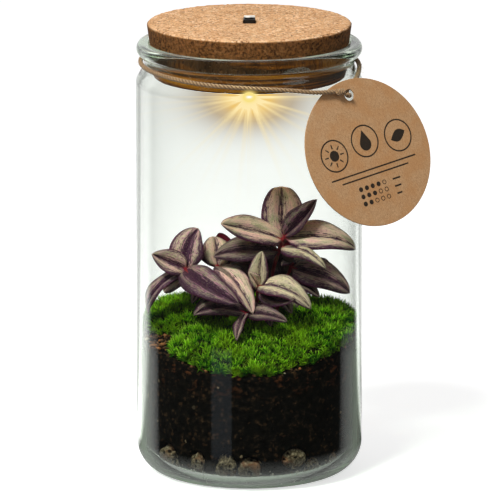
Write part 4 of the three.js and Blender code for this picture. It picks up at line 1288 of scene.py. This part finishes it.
def care_print():
    """A plain plant-care print: three round pictograms, ruled lines, and rows of level dots."""
    bm = bmesh.new()
    faces = []
    light, water, leaf = (-25, 4), (0, 7), (25, 4)
    for centre in (light, water, leaf):
        faces += flat_ring(bm, centre, 10.2, 9.3, 64)
    x, y = light
    rays, pinhole = 8, 0.02
    faces += flat_ring(bm, light, 3.4, pinhole, 40)
    for i in range(rays):
        angle = 2 * math.pi * i / rays
        heading, side = (math.cos(angle), math.sin(angle)), (-math.sin(angle), math.cos(angle))
        faces += flat_shape(bm, [
            (x + r * heading[0] + s * side[0], y + r * heading[1] + s * side[1])
            for r, s in ((4.5, -0.5), (7.3, -0.3), (7.3, 0.3), (4.5, 0.5))
        ])
    x, y = water
    drop, low, high = 4.2, y - 1.8, y + 7
    round_part = [(x + drop * math.cos(a), low + drop * math.sin(a)) for a in np.linspace(-3.7, 0.55, 28)]
    faces += flat_shape(bm, [*round_part, (x, high)])
    x, y = leaf
    length, half_width, slant = 12, 3.6, 3
    upper, lower = [
        [
            (x + length * (t - 0.5), y + half * math.sin(math.pi * t) + slant * (t - 0.5))
            for t in np.linspace(start, 1 - start, 16)
        ]
        for start, half in ((0, half_width), (1, -half_width))
    ]
    faces += flat_shape(bm, [*upper, *lower[1:-1]])
    for reach, level in ((33, -11), (26, -14.6)):
        faces += bar(bm, -reach, level, reach, level + 0.9)
    rows, dots, step = 3, 5, 4.6
    for row in range(rows):
        for dot in range(dots):
            hollow = pinhole if dot <= rows - row else 1.05
            faces += flat_ring(bm, (-14 + dot * step, -20.5 - row * step), 1.5, hollow, 24)
        faces += bar(bm, 11, -21 - row * step, 17 - row, -20 - row * step)
    print_height, print_gap = 0.04 * MM, 0.005 * MM
    raised(bm, faces, print_height)
    bmesh.ops.translate(bm, vec=(0, 0, look("tag").thickness / 2 + print_gap), verts=bm.verts)
    bmesh.ops.recalc_face_normals(bm, faces=bm.faces)
    return bm


# Planting, from the same formulas as the part, in millimetres


def ripple(x, y, size):
    a, b = x / size, y / size
    return math.sin(a + 1.7 * math.sin(b)) * math.sin(1.3 * b - 1.1 * math.sin(0.9 * a))


def soil_top(x, y):
    """Height of the soil: domed, low at the front and with small lumps."""
    edge = (x * x + y * y) / SOIL_R**2
    front, back = max(0.0, -y / SOIL_R), max(0.0, y / SOIL_R)
    return SOIL_TOP - 3 * edge - 14 * front * front + 3 * back + 0.7 * ripple(x, y, 4.5)


def cavity_radius(z):
    """Inner radius of the glass at a height."""
    heel = max(0.0, FLOOR + HEEL_R - z)
    if heel >= HEEL_R:
        return SOIL_R - HEEL_R
    return SOIL_R - HEEL_R + math.sqrt(HEEL_R**2 - heel**2)


def pebble_centres():
    """Each pebble's centre, against the glass."""
    centres = []
    for angle, across, _, height in PEBBLES:
        reach = cavity_radius(height) + 0.6 - across * 0.4
        centre = Vector((0, -reach, height))
        centre.rotate(Matrix.Rotation(angle * DEG, 3, "Z"))
        centres.append(centre)
    return centres


def stone_recess(x, y, z, row, stone):
    """How far the soil stands back from the glass at a stone, from 0 to 1."""
    _, across, tall, _ = row
    turn = math.atan2(y, x) - math.atan2(stone.y, stone.x)
    aside = math.remainder(turn, 2 * math.pi) * SOIL_R
    near = math.hypot(aside / across, (z - stone.z) / tall) * 2
    return min(1.0, max(0.0, (1.4 - near) / 0.3))


def build_soil():
    grain = look("soil").grain
    inner, floor, heel, gap = SOIL_R * MM, FLOOR * MM, HEEL_R * MM, 0.3 * MM
    top, side_top = SOIL_TOP * MM, 86 * MM
    profile = [
        *straight_line((0, floor + gap), (inner - heel, floor + gap), 4 * MM),
        *arc(inner - heel, floor + heel, heel - gap, heel - gap, -85, 0, 18),
        *straight_line((inner - gap, floor + heel + grain), (inner - gap, side_top), grain),
        *straight_line((inner - gap - grain, top), (0, top), grain * 1.15),
    ]
    bm = spun(profile, int(2 * math.pi * inner / grain))
    stones = pebble_centres()
    side_from, slope_from, slope_height, edge_drop = 40, 22, 64, 3
    for vert in bm.verts:
        x, y, z = (c / MM for c in vert.co)
        out = math.hypot(x, y)
        if z > SOIL_TOP - 1:
            z = soil_top(x, y) + 0.9 * noise.fractal(Vector((x, y, 0)) * 0.35, 0.8, 2.1, 4)
        elif out > side_from:
            slope = min(1.0, max(0.0, (z - slope_from) / slope_height))
            z += slope * (soil_top(x, y) - SOIL_TOP + edge_drop)
            lumps = noise.fractal(Vector((x, y, z)) * 0.45, 0.7, 2.1, 4)
            shrink = 0.5 - 0.9 * min(0.0, lumps)
            shrink += 5.2 * max(stone_recess(x, y, z, row, stone) for row, stone in zip(PEBBLES, stones))
            x, y = x * (1 - shrink / out), y * (1 - shrink / out)
        vert.co = Vector((x, y, z)) * MM
    bmesh.ops.recalc_face_normals(bm, faces=bm.faces)
    show("potting_soil", bm, [soil_earth()], ["soil"])
    build_crumbs()


def build_crumbs():
    """Loose crumbs on the soil where the moss leaves it bare."""
    rng = random.Random(SEED + 1)
    spread = 65.8
    shapes = []
    for _ in range(6):
        bm = bmesh.new()
        bmesh.ops.create_icosphere(bm, subdivisions=1, radius=1)
        for vert in bm.verts:
            vert.co *= rng.uniform(0.6, 1.2)
        shapes.append(plain_shape(bm))
    places = []
    while len(places) < look("soil").crumbs:
        angle, out = rng.uniform(0, 2 * math.pi), spread * math.sqrt(rng.random())
        x, y = out * math.cos(angle), out * math.sin(angle)
        size = rng.choice((0.4, 0.6, 0.6, 0.9, 1.4, 1.8))
        turned = Matrix.Rotation(rng.uniform(0, FULL_TURN), 4, "Z")
        turned = turned @ Matrix.Rotation(rng.uniform(0, FULL_TURN), 4, "X")
        stretch = Matrix.Diagonal((size * MM * rng.uniform(1, 1.9), size * MM, size * 0.8 * MM, 1))
        z = soil_top(x, y) + size * 0.25
        places.append(Matrix.Translation(Vector((x, y, z)) * MM) @ turned @ stretch)
    show("soil_crumbs", copies("soil_crumbs", shapes, places, rng), [crumb_earth()])


def pits_of(rng):
    """The holes in one stone: the way to each from its middle, and its size."""
    count = 26
    return [
        (Vector([rng.gauss(0, 1) for _ in range(3)]).normalized(), rng.uniform(0.1, 0.26))
        for _ in range(count)
    ]


def pit_depth(at, pits):
    """How deep the holes are at a point of the stone's ball."""
    deep = 0.0
    for hole, size in pits:
        near = (at - hole).length / size
        if near < 1:
            deep = max(deep, (1 - near * near) ** 2 * size)
    return deep


def build_pebbles():
    rng = random.Random(SEED + 2)
    finish = pebble_stone()
    lowest, glass_gap, most_grown = 5.9, 0.35, 1.1
    for number, (row, centre) in enumerate(zip(PEBBLES, pebble_centres()), 1):
        angle, across, tall, _ = row
        bm = bmesh.new()
        pit_shade = bm.verts.layers.float.new("pit_shade")
        bmesh.ops.create_icosphere(bm, subdivisions=5, radius=1)
        seed = Vector((number * 7.3, number * 3.1, 0))
        pits = pits_of(rng)
        turn = Matrix.Rotation(angle * DEG, 3, "Z")
        for vert in bm.verts:
            at = vert.co.copy()
            lumps, grain = noise.fractal(at * 1.5 + seed, 0.9, 2.0, 3), noise.noise(at * 7 + seed)
            grow = 1.02 + 0.36 * lumps + 0.05 * grain
            deep = pit_depth(at, pits)
            # The hole's depth here, kept to darken the holes with painted shade
            vert[pit_shade] = min(1.0, deep * 6)
            at *= min(most_grown, grow) - deep * 0.9
            at = turn @ Vector((at.x * across * 0.56, at.y * across * 0.42, at.z * tall * 0.54)) + centre
            z = max(at.z, lowest)
            squeeze = min(1.0, (cavity_radius(z) - glass_gap) / math.hypot(at.x, at.y))
            vert.co = Vector((at.x * squeeze, at.y * squeeze, z)) * MM
        bmesh.ops.recalc_face_normals(bm, faces=bm.faces)
        show(f"stone_{number:02}", bm, [finish], [f"pebble_{number:02}"])
    build_grit(rng)


def build_grit(rng):
    """Small white chips of stone low against the glass."""
    bm = bmesh.new()
    count = 420
    for _ in range(count):
        z = 6.2 + 9 * rng.random() ** 2.5
        reach, turn = cavity_radius(z) - rng.uniform(0.5, 0.9), rng.uniform(0, 2 * math.pi)
        radius = rng.choice((0.3, 0.45, 0.7)) * MM
        chip = bmesh.ops.create_icosphere(bm, subdivisions=1, radius=radius)["verts"]
        for vert in chip:
            vert.co *= rng.uniform(0.6, 1.2)
        at = (reach * math.cos(turn) * MM, reach * math.sin(turn) * MM, z * MM)
        bmesh.ops.translate(bm, vec=at, verts=chip)
    show("stone_grit", bm, [grit_stone()], smooth=False)


def tuft_relief(x, y, z):
    lobes = math.sin(x * 0.62 + 0.4 * z) * math.sin(y * 0.66 + 1.1) * math.cos(z * 0.5)
    return 0.045 * lobes + 0.03 * ripple(x + z, y - z, 1.9)


def mound_point(mound, ray):
    """A point of a moss mound's skin, from a direction out of its middle."""
    a, b, h = mound.size
    grow = 1 + (tuft_relief(ray.x * a, ray.y * b, ray.z * h) if ray.z > -0.2 else 0)
    point = Vector((ray.x * a, ray.y * b, ray.z * h)) * grow
    point.rotate(Matrix.Rotation(mound.turn * DEG, 3, "Z"))
    point += Vector((*mound.at, MOUND_LIFT))
    inside = min(1.0, SOIL_R / math.hypot(point.x, point.y))
    point.z += soil_top(point.x * inside, point.y * inside)
    return point


def inside_mound(mound, point):
    """Whether a point lies inside a mound."""
    local = point - Vector((*mound.at, MOUND_LIFT + soil_top(point.x, point.y)))
    local.rotate(Matrix.Rotation(-mound.turn * DEG, 3, "Z"))
    a, b, h = mound.size
    return (local.x / a) ** 2 + (local.y / b) ** 2 + (local.z / h) ** 2 < 0.93


def sprig_shapes(rng):
    """Small star-shaped sprigs of moss: narrow leaves round an upright middle."""
    shapes = []
    for _ in range(8):
        bm = bmesh.new()
        for layer, (count, lean, length) in enumerate(((4, 1.2, 3.2), (3, 0.7, 4.2), (1, 0.2, 4.6))):
            for i in range(count):
                made = bmesh.ops.create_cone(
                    bm, cap_ends=False, segments=3, radius1=0.5, radius2=0, depth=length,
                )["verts"]
                bmesh.ops.translate(bm, vec=(0, 0, length / 2), verts=made)
                tilt = Matrix.Rotation(lean * rng.uniform(0.75, 1.25), 4, "X")
                angle = 2 * math.pi * (i + 0.5 * layer + rng.uniform(-0.2, 0.2)) / count
                bmesh.ops.transform(bm, matrix=Matrix.Rotation(angle, 4, "Z") @ tilt, verts=made)
        shapes.append(plain_shape(bm))
    return shapes


def build_moss():
    rng = random.Random(SEED + 3)
    shapes = sprig_shapes(rng)
    sprig_finish, shade_bed_finish = moss_leaf(), moss_bed()
    everything = [mound for mounds in MOSS.values() for mound in mounds]
    bed_scale, bed_drop, edge_gap, sunk = 0.97, 0.6, 2.2, 1.5
    for node, mounds in MOSS.items():
        bed = bmesh.new()
        places = []
        for mound in mounds:
            for vert in bmesh.ops.create_uvsphere(bed, u_segments=72, v_segments=36, radius=1)["verts"]:
                point = mound_point(mound, vert.co.normalized() * bed_scale)
                squeeze = min(1.0, (SOIL_R - edge_gap) / math.hypot(point.x, point.y))
                x, y = point.x * squeeze, point.y * squeeze
                vert.co = Vector((x, y, max(point.z - bed_drop, soil_top(x, y) - sunk))) * MM
            places += sprig_places(mound, [m for m in everything if m is not mound], rng)
        bmesh.ops.recalc_face_normals(bed, faces=bed.faces)
        short = node.removeprefix("moss_")
        # The bed, painted dark, stands in for the shade deep in the moss
        show("bed_" + short, bed, [shade_bed_finish], [node])
        sprigs = copies("sprigs_" + short, shapes, places, rng)
        show("sprigs_" + short, sprigs, [sprig_finish], smooth=False)


def sprig_places(mound, others, rng):
    """Places for sprigs, spread evenly over a mound's bare skin."""
    spacing = look("moss").spacing / MM
    a, b, h = mound.size
    area = 2 * math.pi * ((a * b) ** 1.6 / 3 + (a * h) ** 1.6 / 3 + (b * h) ** 1.6 / 3) ** (1 / 1.6)
    most = max(a * b, a * h, b * h)
    wanted = int(area / spacing**2)
    places, tries = [], 0
    while tries < wanted:
        ray = Vector((rng.gauss(0, 1), rng.gauss(0, 1), abs(rng.gauss(0, 1)))).normalized()
        stretch = a * b * h * math.sqrt((ray.x / a) ** 2 + (ray.y / b) ** 2 + (ray.z / h) ** 2)
        if rng.random() > stretch / most:
            continue
        tries += 1
        point = mound_point(mound, ray)
        out = math.hypot(point.x, point.y)
        if out > SOIL_R - 1.2:
            point.xy *= (SOIL_R - rng.uniform(0.9, 1.5)) / out
        if point.z < soil_top(point.x, point.y) + rng.uniform(-1.5, 0.3):
            continue
        if any(inside_mound(other, point) for other in others):
            continue
        skin = Vector((ray.x / a, ray.y / b, ray.z / h)).normalized()
        skin.rotate(Matrix.Rotation(mound.turn * DEG, 3, "Z"))
        strayed = Vector([rng.uniform(-0.55, 0.55) for _ in range(3)])
        heading = (skin + Vector((0, 0, 0.8)) + strayed).normalized()
        if out > SOIL_R - 4:
            heading -= Vector((point.x, point.y, 0)) / out * 0.6
        size = rng.uniform(0.75, 1.35) * MM
        spin = Matrix.Rotation(rng.uniform(0, FULL_TURN), 4, "Z")
        turned = heading.to_track_quat("Z", "Y").to_matrix().to_4x4() @ spin
        place = Matrix.Translation((point - heading * 0.9) * MM)
        places.append(place @ turned @ Matrix.Scale(size, 4))
    return places


# Plant


def stem_route(stem):
    (foot_x, foot_y), *rest = stem.route
    ground, depth = soil_top(foot_x, foot_y), 16
    return Route([(foot_x, foot_y, ground - depth), (foot_x, foot_y, ground), *rest])


def leaf_outline(t, blunt):
    """Half the width of a leaf along its length, as a share of its greatest."""
    return min(1.0, 0.15 + 9 * t) * max(0.0, math.sin(math.pi * t**0.8)) ** blunt


class Blade:
    """The middle surface of one leaf, as in the part"""

    def __init__(self, leaf, base):
        self.leaf = leaf
        tip = Vector(leaf.tip)
        chord = tip - base
        self.side = chord.cross(Vector(leaf.face)).normalized()
        upper = self.side.cross(chord).normalized()
        rise, hook, sweep_out = [4 / 3 * bow for bow in (leaf.arch, leaf.hook, leaf.sweep)]
        near = base + chord / 3 + upper * rise + self.side * sweep_out
        far = base + chord * 2 / 3 + upper * (rise + hook) + self.side * sweep_out
        self.rib = (base, near, far, tip)

    def point(self, across, along):
        """A place on the blade: across from -1 to 1, along from 0 to 1."""
        a, b, c, d = self.rib
        t, s = along, 1 - along
        heading = (3 * s * s * (b - a) + 6 * s * t * (c - b) + 3 * t * t * (d - c)).normalized()
        lift = self.side.cross(heading).normalized()
        level = heading.cross(lift)
        half = max(0.3, self.leaf.wide / 2 * leaf_outline(along, self.leaf.blunt))
        out = abs(across)
        fold = self.leaf.fold * DEG
        height = half * (out * math.sin(fold) + 0.2 * math.sin(math.pi * out))
        ruffle = 2 * math.sin(9 * along + 2 * across) * math.sin(math.pi * along)
        rib = s**3 * a + 3 * s * s * t * b + 3 * s * t * t * c + t**3 * d
        return rib + level * across * half * math.cos(fold) + lift * (height + 0.5 * out * out * ruffle)


def leaf_blade(bm, blade, values):
    """A leaf: a grid laid on the blade's middle surface, doubled and closed round its edge."""
    sizes = look("plant")
    layers = [bm.verts.layers.float[name] for name in LEAF_VALUES]
    before = set(bm.faces)
    grid = bmesh.ops.create_grid(
        bm, x_segments=sizes.columns, y_segments=sizes.rows, size=1, calc_uvs=True
    )["verts"]
    upper = [face for face in bm.faces if face not in before]
    for vert in grid:
        across, along = vert.co.x, 0.02 + 0.98 * ((vert.co.y + 1) / 2) ** 1.15
        vert.co = blade.point(across, along) * MM
        for layer, value in zip(layers, (*values, -across * math.copysign(1, blade.side.z))):
            vert[layer] = value
    for face in upper:
        face.normal_update()
    for vert in grid:
        vert.normal_update()
    half = sizes.blade / 2
    made = bmesh.ops.duplicate(bm, geom=upper)
    under = [item for item in made["geom"] if isinstance(item, bmesh.types.BMFace)]
    pairs = made["vert_map"]
    for vert in grid:
        rise = vert.normal.copy() * half
        pairs[vert].co = vert.co - rise
        vert.co = vert.co + rise
    bmesh.ops.reverse_faces(bm, faces=under)
    for face in under:
        face.material_index = 1
    rim = [edge for face in upper + under for edge in face.edges if edge.is_boundary]
    bmesh.ops.bridge_loops(bm, edges=rim)


def build_plant():
    rng = random.Random(SEED + 4)
    finishes = [leaf_upper(), leaf_under()]
    skin = stem_skin()
    for stem in STEMS:
        short = stem.name.removeprefix("plant_stem_")
        route = stem_route(stem)
        shoot = bmesh.new()
        centres = [p * MM for p in route.spaced(1.2)]
        radii = [stem_radius(i / (len(centres) - 1)) * MM for i in range(len(centres))]
        sweep(shoot, centres, radii, 14)
        leaves = bmesh.new()
        leaves.loops.layers.uv.new("UVMap")
        for name in LEAF_VALUES:
            leaves.verts.layers.float.new(name)
        for leaf in stem.leaves:
            base = route.at(leaf.share)
            blade = Blade(leaf, base)
            leaf_blade(leaves, blade, (rng.random(), *leaf.look))
            sheath(shoot, base, blade)
        show("shoot_" + short, shoot, [skin], [stem.name])
        show("leaves_" + short, leaves, finishes, [stem.name])


def stem_radius(share):
    """Radius of a stem, a little swollen at its nodes and slimmer at its tip."""
    joints = 0.2 * max(0.0, math.cos(2 * math.pi * share * 5)) ** 8
    return 1.4 * (1 - 0.25 * share) + joints


def sheath(bm, start, blade):
    """The base of a leaf, which clasps its stem."""
    first, second = blade.point(0, 0.05), blade.point(0, 0.12)
    centres = [p * MM for p in (start, start.lerp(first, 0.5), first, second)]
    sweep(bm, centres, [r * MM for r in (1.5, 1.35, 0.9, 0.35)], 10)


# Stage


def studio_white(nodes, heading, front):
    """How white the studio is along a heading, and whether the light there is only for shading.

    It is white straight on and through the jar. Glass mirrors the backdrop behind the jar, a white
    panel on each side, and the dimmer room in front of it. Thick glass shows more of the backdrop.
    """
    one_face, whole_jar, backdrop, panel_white, panel_lean = 0.5, 3.5, 0.85, 1.25, 0.142
    path = nodes.add("ShaderNodeLightPath").outputs
    passed = path["Transmission Depth"]
    inside = nodes.maths("GREATER_THAN", passed, whole_jar)
    thick = nodes.maths("GREATER_THAN", passed, one_face)
    mirrored = nodes.maths("GREATER_THAN", path["Glossy Depth"], one_face)
    lit = nodes.larger(path["Is Diffuse Ray"], nodes.times(inside, mirrored))
    flat = nodes.axes(nodes.vectors("NORMALIZE", nodes.levelled(heading))[0])
    behind, aside = flat["Y"], flat["X"]
    leftward = nodes.minus(behind, nodes.times(aside, panel_lean))
    panel = nodes.times(
        nodes.grade(leftward, 0.55, 0.70, 0.0, panel_white), nodes.grade(behind, 0.80, 0.86, 1.0, 0.0)
    )
    room = nodes.either(thick, front, 1.8 * front)
    narrow = nodes.larger(panel, nodes.grade(behind, 0.72, 0.97, room, backdrop))
    wide = nodes.grade(behind, -0.2, 0.6, 0.3 + front, backdrop)
    open_view = nodes.minus(1.0, nodes.times(inside, 0.02))
    solid_glass = nodes.either(nodes.minus(thick, inside), open_view, wide)
    return nodes.either(mirrored, solid_glass, narrow), lit


def studio_floor():
    """Plain pale floor, a little brighter to the camera than its light makes it."""
    f = Finish("studio_floor")
    in_front, camera_share, own_glow = 0.01, 0.45, 0.62
    white, lit = studio_white(f, f.place, in_front)
    path = f.add("ShaderNodeLightPath").outputs
    # Right by the jar, and only for short rays such as those through its heel, the floor glows at least
    # this bright: painted light that lifts the shade under the jar as seen through the glass
    by_jar = f.grade(f.vectors("LENGTH", f.place)["Value"], 0.075, 0.115, 1.0, 0.0)
    near = f.times(by_jar, f.grade(path["Ray Length"], 0.10, 0.18, 1.0, 0.0))
    white = f.larger(white, f.times(near, f.either(path["Is Glossy Ray"], 0.45, 0.32)))
    faint = f.grade(f.noise(3, detail=2), 0, 1, 0.84, 0.88)
    shade = f.times(f.times(faint, f.maths("MINIMUM", white, 1.0)), f.either(lit, 1.0, camera_share))
    colour = f.add("ShaderNodeCombineColor", {0: shade, 1: shade, 2: shade}).outputs[0]
    glow = f.times(f.times(white, own_glow), f.minus(1.0, lit))
    return f.done(
        colour, 0.8, Emission_Color=(1, 1, 1, 1), Emission_Strength=glow, Specular_IOR_Level=0.0
    )


def area_light(name, at, aim, size, power, colour=(1, 1, 1)):
    light = bpy.data.lights.new(name, "AREA")
    light.shape, light.size, light.energy, light.color = "DISK", size, power, colour
    lamp = bpy.data.objects.new(name, light)
    lamp.location = at
    lamp.rotation_euler = (Vector(aim) - Vector(at)).to_track_quat("-Z", "Y").to_euler()
    bpy.context.scene.collection.objects.link(lamp)
    return lamp


def build_camera(target, sizes):
    """The camera, at the photograph's angle and with its width of view."""
    sensor, focal_pixels, frame_pixels = 36, 7258, 500
    camera = bpy.data.cameras.new("camera")
    camera.lens = focal_pixels * sensor / frame_pixels
    camera.sensor_width = sensor
    camera.shift_x, camera.shift_y = 0.7 / frame_pixels, -0.4 / frame_pixels
    camera.clip_end = 100
    eye = bpy.data.objects.new("camera", camera)
    back = Vector((0, -math.cos(sizes.elevation), math.sin(sizes.elevation)))
    eye.location = target + back * sizes.distance
    eye.rotation_euler = (-back).to_track_quat("-Z", "Y").to_euler()
    bpy.context.scene.collection.objects.link(eye)
    bpy.context.scene.camera = eye


def build_lights(target, sizes):
    """A main light, a fill, three soft strips that the jar's front mirrors, and the lamp's light."""
    area_light("key", (-0.45, -0.75, 1.35), target, 0.4, sizes.key).visible_glossy = False
    area_light("fill", (1.1, -0.8, 0.7), target, 0.8, sizes.fill).visible_glossy = False
    strip_at, strip_height, strip_white = Vector((-46.6, -120, 40)) * MM, 74, 0.18
    for number, width in enumerate((14, 24, 36)):
        aim = (0, 0, strip_at.z)
        strip = area_light(f"strip_{number}", strip_at, aim, width * MM, 0.0, (0.78, 0.86, 1)).data
        strip.shape, strip.size_y = "RECTANGLE", strip_height * MM
        strip.energy = strip_white * math.pi * width * strip_height * MM**2
    glow = look("lamp")
    lamp = bpy.data.lights.new("lamp", "POINT")
    lamp.energy, lamp.color, lamp.shadow_soft_size = glow.power, glow.colour, 6 * MM
    lamp_object = bpy.data.objects.new("lamp", lamp)
    lamp_object.location = (0, 0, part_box("lamp_lens")[0].z - 8 * MM)
    for seen in ("visible_camera", "visible_glossy", "visible_transmission"):
        setattr(lamp_object, seen, False)
    bpy.context.scene.collection.objects.link(lamp_object)


def build_stage():
    sizes = look("stage")
    target, floor_half, floor_gap = Vector((0, 0, 139.4 * MM)), 15, 0.2 * MM
    build_camera(target, sizes)
    floor_bm = bmesh.new()
    bmesh.ops.create_grid(floor_bm, x_segments=4, y_segments=4, size=floor_half)
    floor = bpy.data.objects.new("studio_floor", mesh_of(floor_bm, "studio_floor"))
    floor.data.materials.append(studio_floor())
    floor.location.z = -floor_gap
    bpy.context.scene.collection.objects.link(floor)
    build_lights(target, sizes)
    build_world()
    build_glow()
    bpy.context.scene.view_settings.view_transform = "Standard"


def build_world():
    """White behind the object, and softer light on it, most of it from above."""
    in_front, white_strength = 0.09, 1.06
    world = bpy.data.worlds.new("studio")
    bpy.context.scene.world = world
    world.use_nodes = True
    w = Nodes(world.node_tree)
    heading = w.add("ShaderNodeTexCoord").outputs["Generated"]
    white, lit = studio_white(w, heading, in_front)
    from_above = w.grade(w.axes(heading)["Z"], -0.1, 0.9, 0.04, 0.5)
    shown = w.add("ShaderNodeBackground", {"Strength": w.times(white, white_strength)})
    lighting = w.add("ShaderNodeBackground", {"Strength": from_above})
    mixed = w.add("ShaderNodeMixShader", {0: lit, 1: shown.outputs[0], 2: lighting.outputs[0]})
    w.add("ShaderNodeOutputWorld", {"Surface": mixed.outputs[0]})


def build_glow():
    """A grey haze of painted shade under the cork, and warm light and fine rays round the lamp, drawn over
    the picture where it is bright.
    """
    scene = bpy.context.scene
    scene.use_nodes = True
    c = Nodes(scene.node_tree)
    picture = c.add("CompositorNodeRLayers").outputs["Image"]
    hot = {"Image": picture, "Threshold": 2.9, "Smoothness": 0.0, "Clamp": True, "Maximum": 1.2}

    def maths(operation, first, second, clamp):
        settings = {"operation": operation, "use_clamp": clamp}
        return c.add("CompositorNodeMath", {0: first, 1: second}, **settings).outputs[0]

    def times(first, second):
        return maths("MULTIPLY", first, second, True)

    def grey(image):
        return c.add("CompositorNodeRGBToBW", {0: image}).outputs[0]

    def glare(kind, output, **more):
        node = c.add("CompositorNodeGlare", {**hot, **more}, glare_type=kind, quality="HIGH")
        return node.outputs[output]

    def blurred(across, up):
        inputs = {"Image": glare("BLOOM", "Highlights"), "Size": (across, up)}
        return grey(c.add("CompositorNodeBlur", inputs, filter_type="GAUSS").outputs[0])

    def tinted(image, amount, tint):
        return c.add("CompositorNodeMixRGB", {0: amount, 1: image, 2: tint}).outputs[0]

    rays = 0.0
    for count, angle, fade in GLOW_STREAKS:
        shape = {
            "Streaks": count, "Streaks Angle": angle * DEG, "Fade": fade, "Iterations": 4,
            "Color Modulation": 0.0,
        }
        rays = maths("ADD", rays, grey(glare("STREAKS", "Glare", **shape)), False)
    dark, clear = 0.2, 0.75
    seen = {0: grey(picture), 1: dark, 2: clear, 3: 0.0, 4: 1.0}
    seen = c.add("CompositorNodeMapRange", seen, use_clamp=True).outputs[0]
    result = picture
    # The grey haze, drawn first, darkens the bright picture under the cork: painted shade
    for light, gain, tint in (
        (blurred(120, 66), 1050.0, GLOW_SHADE_HAZE), (blurred(56, 40), 300.0, GLOW_WARM), (rays, 7.0, GLOW_RAY),
    ):
        result = tinted(result, times(times(light, gain), seen), tint)
    for light, gain, tint in ((blurred(11, 9), 22.0, GLOW_CORE), (blurred(4, 2), 1.4, GLOW_SPOT)):
        result = tinted(result, times(light, gain), tint)
    c.add("CompositorNodeComposite", {"Image": result})


# Operators


class BuildStage(bpy.types.Operator):
    """Makes the floor, the lights, the world and the camera"""

    bl_idname = "terrarium.stage"
    bl_label = "Stage"

    def execute(self, context):
        build_stage()
        return {"FINISHED"}


class BuildTwineAndTag(bpy.types.Operator):
    """Ties the jute twine round the jar's neck, with its knot, loose fibres and hang tag"""

    bl_idname = "terrarium.twine_and_tag"
    bl_label = "Twine and tag"

    def execute(self, context):
        twine, knot, centres, length = build_twine()
        build_tag()
        look("twine").diameter
        return {"FINISHED"}


class BuildJar(bpy.types.Operator):
    """Turns the glass jar"""

    bl_idname = "terrarium.jar"
    bl_label = "Jar"

    def execute(self, context):
        build_jar()
        return {"FINISHED"}


class BuildCork(bpy.types.Operator):
    """Turns the cork lid, bored for its lamp and cut for its switch"""

    bl_idname = "terrarium.cork"
    bl_label = "Cork"

    def execute(self, context):
        build_cork()
        return {"FINISHED"}


class BuildLamp(bpy.types.Operator):
    """Makes the lamp's cup and dome, and finishes what they hold"""

    bl_idname = "terrarium.lamp"
    bl_label = "Lamp"

    def execute(self, context):
        build_lamp()
        return {"FINISHED"}


class BuildSwitch(bpy.types.Operator):
    """Makes the slide switch on the lid"""

    bl_idname = "terrarium.switch"
    bl_label = "Switch"

    def execute(self, context):
        build_switch()
        return {"FINISHED"}


class BuildSoil(bpy.types.Operator):
    """Fills the jar with potting soil and its loose crumbs"""

    bl_idname = "terrarium.soil"
    bl_label = "Soil"

    def execute(self, context):
        build_soil()
        return {"FINISHED"}


class BuildPebbles(bpy.types.Operator):
    """Lays the drainage pebbles against the glass"""

    bl_idname = "terrarium.pebbles"
    bl_label = "Pebbles"

    def execute(self, context):
        build_pebbles()
        return {"FINISHED"}


class BuildMoss(bpy.types.Operator):
    """Grows the moss cushions, sprig by sprig"""

    bl_idname = "terrarium.moss"
    bl_label = "Moss"

    def execute(self, context):
        build_moss()
        return {"FINISHED"}


class BuildPlant(bpy.types.Operator):
    """Grows the leafy stems of the striped plant"""

    bl_idname = "terrarium.plant"
    bl_label = "Plant"

    def execute(self, context):
        build_plant()
        return {"FINISHED"}


OPERATORS = (
    BuildStage, BuildTwineAndTag, BuildJar, BuildCork, BuildLamp, BuildSwitch, BuildSoil,
    BuildPebbles, BuildMoss, BuildPlant,
)


class TerrariumPanel(bpy.types.Panel):
    """Lists the pieces and their values"""

    bl_idname = "VIEW3D_PT_terrarium"
    bl_label = "Terrarium"
    bl_space_type = "VIEW_3D"
    bl_region_type = "UI"
    bl_category = "Terrarium"

    def draw(self, context):
        layout = self.layout
        for operator in OPERATORS:
            layout.operator(operator.bl_idname)
        for name in LOOKS:
            box = layout.box()
            box.label(text=name.capitalize())
            group = look(name)
            for value in group.bl_rna.properties:
                if value.identifier not in ("name", "rna_type"):
                    box.prop(group, value.identifier)


def register():
    for group in (*LOOKS.values(), *OPERATORS, TerrariumPanel):
        bpy.utils.register_class(group)
    for name, group in LOOKS.items():
        setattr(bpy.types.Scene, "terrarium_" + name, PointerProperty(type=group))


def unregister():
    for name in LOOKS:
        delattr(bpy.types.Scene, "terrarium_" + name)
    for group in reversed((*LOOKS.values(), *OPERATORS, TerrariumPanel)):
        bpy.utils.unregister_class(group)


def main():
    """Builds every piece in order."""
    register()
    for operator in OPERATORS:
        group, name = operator.bl_idname.split(".")
        getattr(getattr(bpy.ops, group), name)()


if __name__ == "__main__":
    main()
